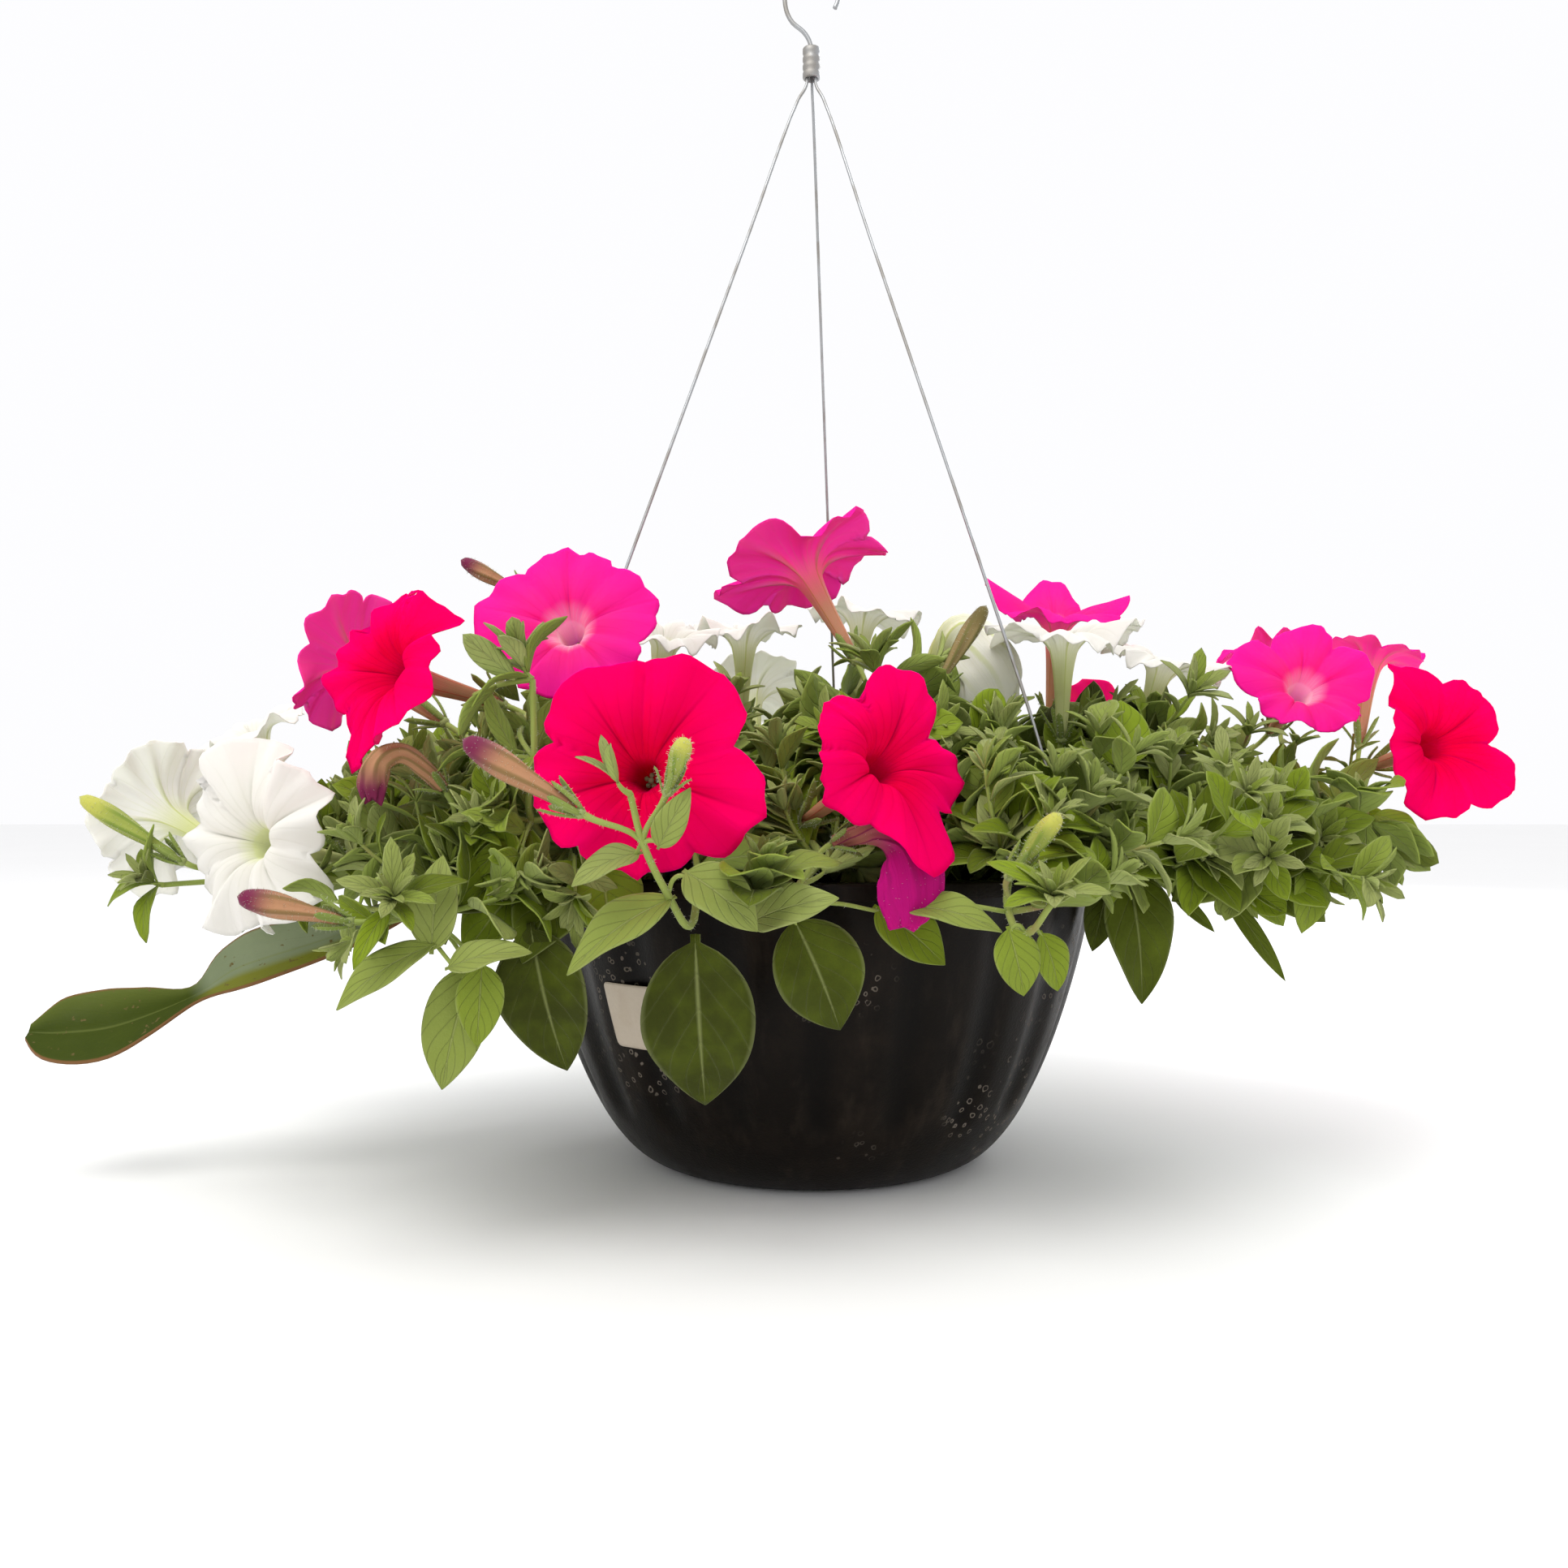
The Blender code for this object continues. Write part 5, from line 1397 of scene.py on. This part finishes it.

# The large leaves that hang or stand clear of the mass: shoot, foot, tip and width in millimetres, the way
# the upper face looks, and how young the leaf is, from 0, olive and smooth, to 1, grey-green and felted. The
# low end is also painted shade: the big leaves hanging under the rim get the darkest olive.
SHOWN_LEAVES = (
    ("front", (-49, -187, 131), (-46, -172, 56), 46, (0, -1, 0.2), 0.05),
    ("left_tall", (-116, -172, 134), (-103, -166, 70), 38, (-0.1, -1, 0.2), 0.05),
    ("left_low", (-135, -185, 120), (-149, -190, 69), 27, (0, -1, 0.3), 0.75),
    ("left_low", (-131, -192, 121), (-132, -198, 88), 19, (0.2, -1, 0.3), 0.65),
    ("front_right", (-11, -176, 137), (10, -172, 89), 38, (0.1, -1, 0.3), 0.1),
    ("front_right", (22, -165, 140), (52, -170, 117), 23, (0, -1, 0.5), 0.3),
    ("right_low", (73, -187, 134), (80, -188, 106), 19, (0, -1, 0.4), 0.65),
    ("right_low", (86, -185, 132), (95, -182, 107), 15, (0.2, -1, 0.4), 0.6),
    ("right_trailing", (146, -72, 152), (153, -86, 87), 34, (0.1, -1, 0.3), 0.15),
    ("right_trailing", (141, -62, 143), (132, -64, 109), 17, (-0.2, -1, 0.3), 0.1),
    ("right_trailing", (194, -62, 140), (224, -70, 95), 9, (-0.3, -1, 0.3), 0.2),
    ("right_trailing", (171, -56, 139), (193, -60, 118), 7, (-0.3, -1, 0.3), 0.2),
    ("right_trailing", (215, -72, 162), (236, -88, 136), 29, (0, -1, 0.5), 0.7),
    ("far_right", (272, -48, 174), (290, -62, 167), 14, (0, -0.8, 0.8), 0.6),
    ("left_low", (-148, -196, 128), (-186, -206, 106), 17, (0, -0.7, 0.8), 0.75),
    ("left_low", (-143, -202, 119), (-110, -204, 128), 16, (0, -0.7, 0.8), 0.8),
    ("left_low", (-150, -195, 124), (-147, -192, 163), 20, (0, -1, 0.1), 0.8),
    ("front", (-67, -214, 164), (-93, -224, 154), 14, (0, -0.6, 0.8), 0.85),
    ("front", (-55, -206, 147), (-97, -218, 121), 21, (0, -0.7, 0.8), 0.75),
    ("front", (-52, -210, 157), (-23, -223, 137), 23, (0, -0.8, 0.7), 0.8),
    ("front_right", (-28, -200, 136), (5, -216, 149), 19, (0, -0.9, 0.6), 0.85),
    ("front", (-60, -228, 166), (-48, -237, 188), 12, (0, -1, 0.1), 0.8),
    ("right_trailing", (138, -90, 196), (143, -82, 230), 29, (0.1, -1, 0.2), 0.45),
    ("right_low", (32, -180, 141), (71, -193, 135), 17, (0, -0.7, 0.8), 0.75),
    ("right_low", (78, -192, 145), (102, -194, 152), 15, (0, -0.9, 0.5), 0.8),
    ("front_right", (-29, -192, 147), (-16, -194, 170), 11, (0, -1, 0.2), 0.75),
    ("right_low", (83, -132, 178), (54, -122, 196), 18, (0, -0.8, 0.6), 0.7),
    ("right_low", (104, -132, 173), (75, -144, 157), 18, (0, -0.8, 0.6), 0.75),
    ("left_tall", (-116, -170, 142), (-150, -155, 190), 22, (-0.1, -1, 0.2), 0.55),
    ("left_low", (-118, -150, 152), (-143, -176, 122), 30, (-0.1, -1, 0.4), 0.3),
    ("left_tall", (-104, -150, 152), (-118, -180, 120), 30, (0.1, -1, 0.4), 0.15),
    ("left_tall", (-90, -150, 154), (-82, -184, 128), 32, (0.1, -1, 0.4), 0.35),
)

# The tufts that stand clear of the mass: shoot, place and height of its young leaves in millimetres.
TUFTS = (
    ("left_tall", (-121, -164, 240), 19), ("front", (-74, -232, 190), 20),
    ("left_low", (-162, -206, 146), 18), ("far_left", (-298, -104, 146), 17),
    ("top_centre", (28, -70, 246), 20), ("right_low", (100, -142, 193), 17),
    ("right_top", (182, -50, 232), 21), ("right_low", (88, -202, 146), 17),
    ("left_tall", (-142, -158, 226), 16), ("right_trailing", (170, -62, 203), 17),
    ("far_left", (-272, -50, 196), 14), ("left_low", (-197, -135, 158), 17),
    ("left_low", (-170, -140, 182), 17), ("top_left", (-40, -60, 230), 17),
    ("top_centre", (3, -50, 226), 17), ("top_centre", (60, -40, 250), 19),
    ("far_right", (224, -10, 215), 18), ("far_right", (249, -8, 209), 18),
    ("far_right", (286, 10, 216), 16), ("right_top", (150, -30, 226), 18),
    ("right_low", (85, -90, 212), 18), ("front_right", (-16, -110, 203), 17),
    ("top_centre", (54, -96, 213), 18), ("right_trailing", (182, -74, 177), 18),
    ("right_low", (137, -108, 176), 17), ("right_low", (113, -136, 160), 17),
    ("left_tall", (-108, -146, 176), 16), ("left_low", (-151, -158, 154), 16),
    ("left_tall", (-150, -138, 206), 18), ("left_low", (-136, -158, 190), 18),
    ("left_tall", (-120, -140, 208), 18), ("left_low", (-140, -168, 172), 18),
    ("left_low", (-188, -158, 165), 18), ("left_low", (-212, -148, 144), 18),
    ("far_left", (-226, -106, 148), 18), ("left_tall", (-120, -176, 156), 18),
    ("left_tall", (-98, -172, 146), 18), ("left_low", (-184, -182, 128), 18),
    ("top_left", (-150, -50, 224), 18), ("top_left", (-168, -50, 204), 18),
    ("left_rear", (-205, -10, 202), 18), ("top_left", (-90, -30, 232), 18),
    ("left_tall", (-168, -110, 190), 18), ("top_left", (-130, -90, 214), 18),
)

# Places where the mass stays open, so that a flower's tube, a bud or a limp flower stands free: middle and
# radius in millimetres.
OPENINGS_MM = (
    (2, -168, 178, 20), (34, -186, 146, 21), (-110, -225, 192, 26), (-60, -232, 185, 20),
    (-205, -196, 142, 24), (84, -186, 166, 16), (-172, -160, 196, 16), (72, -44, 262, 18),
)
OPENINGS = [(Vector(metres(place)), radius / 1000) for *place, radius in OPENINGS_MM]

joints, leaves, rods = {}, {}, {}
for name, (route, bears) in SHOOTS.items():
    joints[name] = [Vector(metres(place)) for place in route]
    leaves[name] = sheets()
    rods[name] = [[(place, STEM_RADIUS * (1 - STEM_TAPER * i)) for i, place in enumerate(joints[name])]]
    for joint, head in bears:
        foot, facing = heads[head]
        start = joints[name][joint]
        reach = (foot - start).length
        way = (facing + Vector((0, 0, 0.7)) + (start - CROWN) * 2).normalized()
        first, second = start + way * 0.35 * reach, foot - facing * 0.4 * reach
        stalk = []
        for t in (0, 0.2, 0.4, 0.6, 0.8, 1.0):
            s = 1 - t
            place = s**3 * start + 3 * s * s * t * first + 3 * s * t * t * second + t**3 * foot
            stalk.append((place, STALK_RADIUS * (1.0 + 0.3 * t**4)))
        rods[name].append(stalk)


PETAL_REACH_BACK = 0.012
THROAT_CLEAR = 0.006
FREE_BEFORE_FACE = 0.050
RIM_GUARD = 0.128
HEM = 0.112
SHOWN_HEM = 0.133


def in_flower(place, ahead=FREE_BEFORE_FACE):
    """Whether a place is inside a flower, where its petals bend back, or in the space before its face."""
    for foot, facing, radius, tube in keep_clear:
        along = (place - foot).dot(facing)
        if not 0 < along < tube + ahead:
            continue
        off = (place - foot - facing * along).length
        share = min(along / (tube - PETAL_REACH_BACK), 1)
        if off < THROAT_CLEAR + (1.04 * radius - THROAT_CLEAR) * share**2.5:
            return True
    return False


def kept_open(place):
    """Whether a place is in the bowl or its rim, below the plant's own hem, or in one of the openings."""
    if any((place - middle).length < radius for middle, radius in OPENINGS):
        return True
    out = math.hypot(place.x, place.y)
    if place.z < RIM_GUARD and out < wall_radius(place.z) + 0.002:
        return True
    beside_rim = WALL_TOP_RADIUS - 0.006 < out < RIM_RADIUS + 0.003
    if beside_rim and RIM_GUARD <= place.z < BASKET_HEIGHT + 0.003:
        return True
    shown_wall = place.y < -0.05 and -0.06 < place.x < 0.13
    return place.z < (SHOWN_HEM if shown_wall else HEM)


def clear_leaf(start, way, up, length, width, droop):
    """Whether a leaf stays out of the flowers, the bowl and the openings."""
    side = way.cross(up).normalized()
    for share in (0.15, 0.35, 0.6, 0.8, 1.0):
        middle = start + way * length * share - up * length * droop * share * share
        for off in (-0.4, 0, 0.4):
            place = middle + side * (off * width)
            if in_flower(place) or kept_open(place):
                return False
    return True


def tuft(name, place, way, size, rng, count=9):
    """Young narrow leaves in a crowded tuft at a shoot's tip, the inner ones upright."""
    aside = way.orthogonal().normalized()
    for i in range(count):
        out = Matrix.Rotation(i * GOLDEN_TURN + rng.uniform(-0.3, 0.3), 3, way) @ aside
        spread = 0.25 + 1.0 * (i / count)
        lean = (way + out * spread).normalized()
        length = size * (0.62 + 0.5 * i / count) * rng.uniform(0.85, 1.15)
        width = length * rng.uniform(0.17, 0.24) * (1 + 0.5 * i / count)
        inner = i < 4 and not in_flower(place + lean * length, 0.020)
        if inner or clear_leaf(place, lean, way, length, width, 0.1):
            blade(leaves[name], place, lean, (way - out * 0.3).normalized(), length, width,
                  across=2, along=6, fold=0.45, arch=0.02, droop=rng.uniform(0.0, 0.28),
                  tint=rng.uniform(0.65, 1.0), shape=(0.45, 0.50))


def side_shoot(name, start, tip, size, count, rng, head=0.020, radius=SIDE_STEM_RADIUS, breadth=1.0):
    """A side stem that leaves a joint sideways and turns up to its tip, with leaves wound round it."""
    level = (0.35 * start.x + 0.65 * tip.x, 0.35 * start.y + 0.65 * tip.y)
    bow = Vector((*level, 0.75 * start.z + 0.25 * tip.z))

    def spot(t):
        return start * (1 - t) ** 2 + bow * 2 * t * (1 - t) + tip * t * t

    rods[name].append([(spot(i / 5), radius * (1 - 0.45 * i / 5)) for i in range(6)])
    way = (tip - bow).normalized()
    turn = rng.uniform(0, math.tau)
    for i in range(count):
        t = 0.18 + 0.80 * i / (count - 1)
        place = spot(t)
        along = ((bow - start) * (1 - t) + (tip - bow) * t).normalized()
        aside = along.cross(Vector((0.13, 0.21, 1))).normalized()
        length = size * (1.05 - 0.55 * t) * rng.uniform(0.85, 1.15)
        for attempt in range(4):
            out = Matrix.Rotation(turn + i * GOLDEN_TURN + attempt * 1.3, 3, along) @ aside
            lean = (out + along * (0.45 + 0.5 * t) + Vector((0, 0, 0.12))).normalized()
            up = (along * 0.8 + Vector((0, 0, 0.75)) - out * 0.15).normalized()
            width, droop = length * breadth * rng.uniform(0.46, 0.66), rng.uniform(0.05, 0.38)
            if clear_leaf(place, lean, up, length, width, droop):
                # Leaves low on a side stem, inside the mass, get a lower tint and a darker olive: partly
                # their age, partly painted shade.
                blade(leaves[name], place, lean, up, length, width, across=6, along=10,
                      fold=rng.uniform(0.12, 0.40), arch=rng.uniform(0.02, 0.10), droop=droop,
                      wave=rng.uniform(0.05, 0.20), seed=rng.uniform(0, 9), twist=rng.uniform(-0.5, 0.5),
                      shape=(0.72, rng.uniform(0.60, 0.92)),
                      tint=min(1, max(0, rng.gauss(0.30 + 0.45 * t, 0.24))))
                break
    tuft(name, tip, way, head, rng)


def nearest_joint(place, names=tuple(SHOOTS)):
    """The shoot and joint from which a side stem can best rise to a place."""
    choices = [(name, joint) for name in names for joint in joints[name][1:]]
    return min(choices, key=lambda it: (it[1] - place).length + 1.5 * max(0, it[1].z - place.z))


rng = random.Random(3)
for name, foot, tip, width, face_way, young in SHOWN_LEAVES:
    foot, tip = Vector(metres(foot)), Vector(metres(tip))
    _, joint = nearest_joint(foot, [name])
    length = (tip - foot).length
    way = (tip - foot).normalized()
    if (joint - foot).length > 0.004:
        stalk = (joint, (joint + foot) / 2 + Vector((0, 0, 0.002)), foot + way * 0.1 * length)
        rods[name].append(list(zip(stalk, LEAF_STALK)))
    blade(leaves[name], foot, way, Vector(face_way).normalized(), length, width / 1000, across=12, along=24,
          fold=0.26, arch=0.07, droop=0.10, wave=0.13, seed=rng.uniform(0, 9),
          twist=rng.uniform(-0.15, 0.15), shape=(0.62, 0.93), tint=young)

for name, place, size in TUFTS:
    place = Vector(metres(place))
    _, joint = nearest_joint(place, [name])
    side_shoot(name, joint, place, 0.034, 6, rng, head=size / 1000 * 1.25, radius=0.0013, breadth=0.62)

# The mass: side shoots to places spread evenly over a low dome, and two lower layers inside it. Each layer
# has its count of side shoots, its share of the dome's size and the length of its leaves.
DOME_CENTRE = Vector((0.012, 0, 0.132))
DOME_WIDE, DOME_DEEP, DOME_HIGH, DOME_LIFT = 0.270, 0.196, 0.088, 0.006
LAYERS = ((140, 1.0, 0.042), (100, 0.82, 0.046), (50, 0.60, 0.048))
for layer, (count, share, size) in enumerate(LAYERS):
    for i in range(count):
        height = (i + 0.5) / count
        turn = i * GOLDEN_TURN + layer
        flat = math.sqrt(1 - height * height)
        across, back = DOME_WIDE * flat * math.cos(turn), DOME_DEEP * flat * math.sin(turn)
        spread = Vector((across, back, DOME_HIGH * height**0.7 + DOME_LIFT))
        place = DOME_CENTRE + spread * share * rng.uniform(0.92, 1.04)
        if in_flower(place) or kept_open(place):
            continue
        name, joint = nearest_joint(place)
        side_shoot(name, joint, place, size, 8, rng)

for name in SHOOTS:
    shoot = thickened(leaves[name], LEAF_FINISHES, LEAF_THICKNESS)
    joined(shoot, rounded_rods(rods[name], sides=2), 2)
    hairs_on(shoot, {2}, 900, 0.0012, 3, random.Random("shoot_" + name))
    piece = piece_from("petunia_shoot_" + name, shoot, *LEAF_FINISHES, stem_green, down)
    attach(piece, "root")
    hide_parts("shoot_" + name)
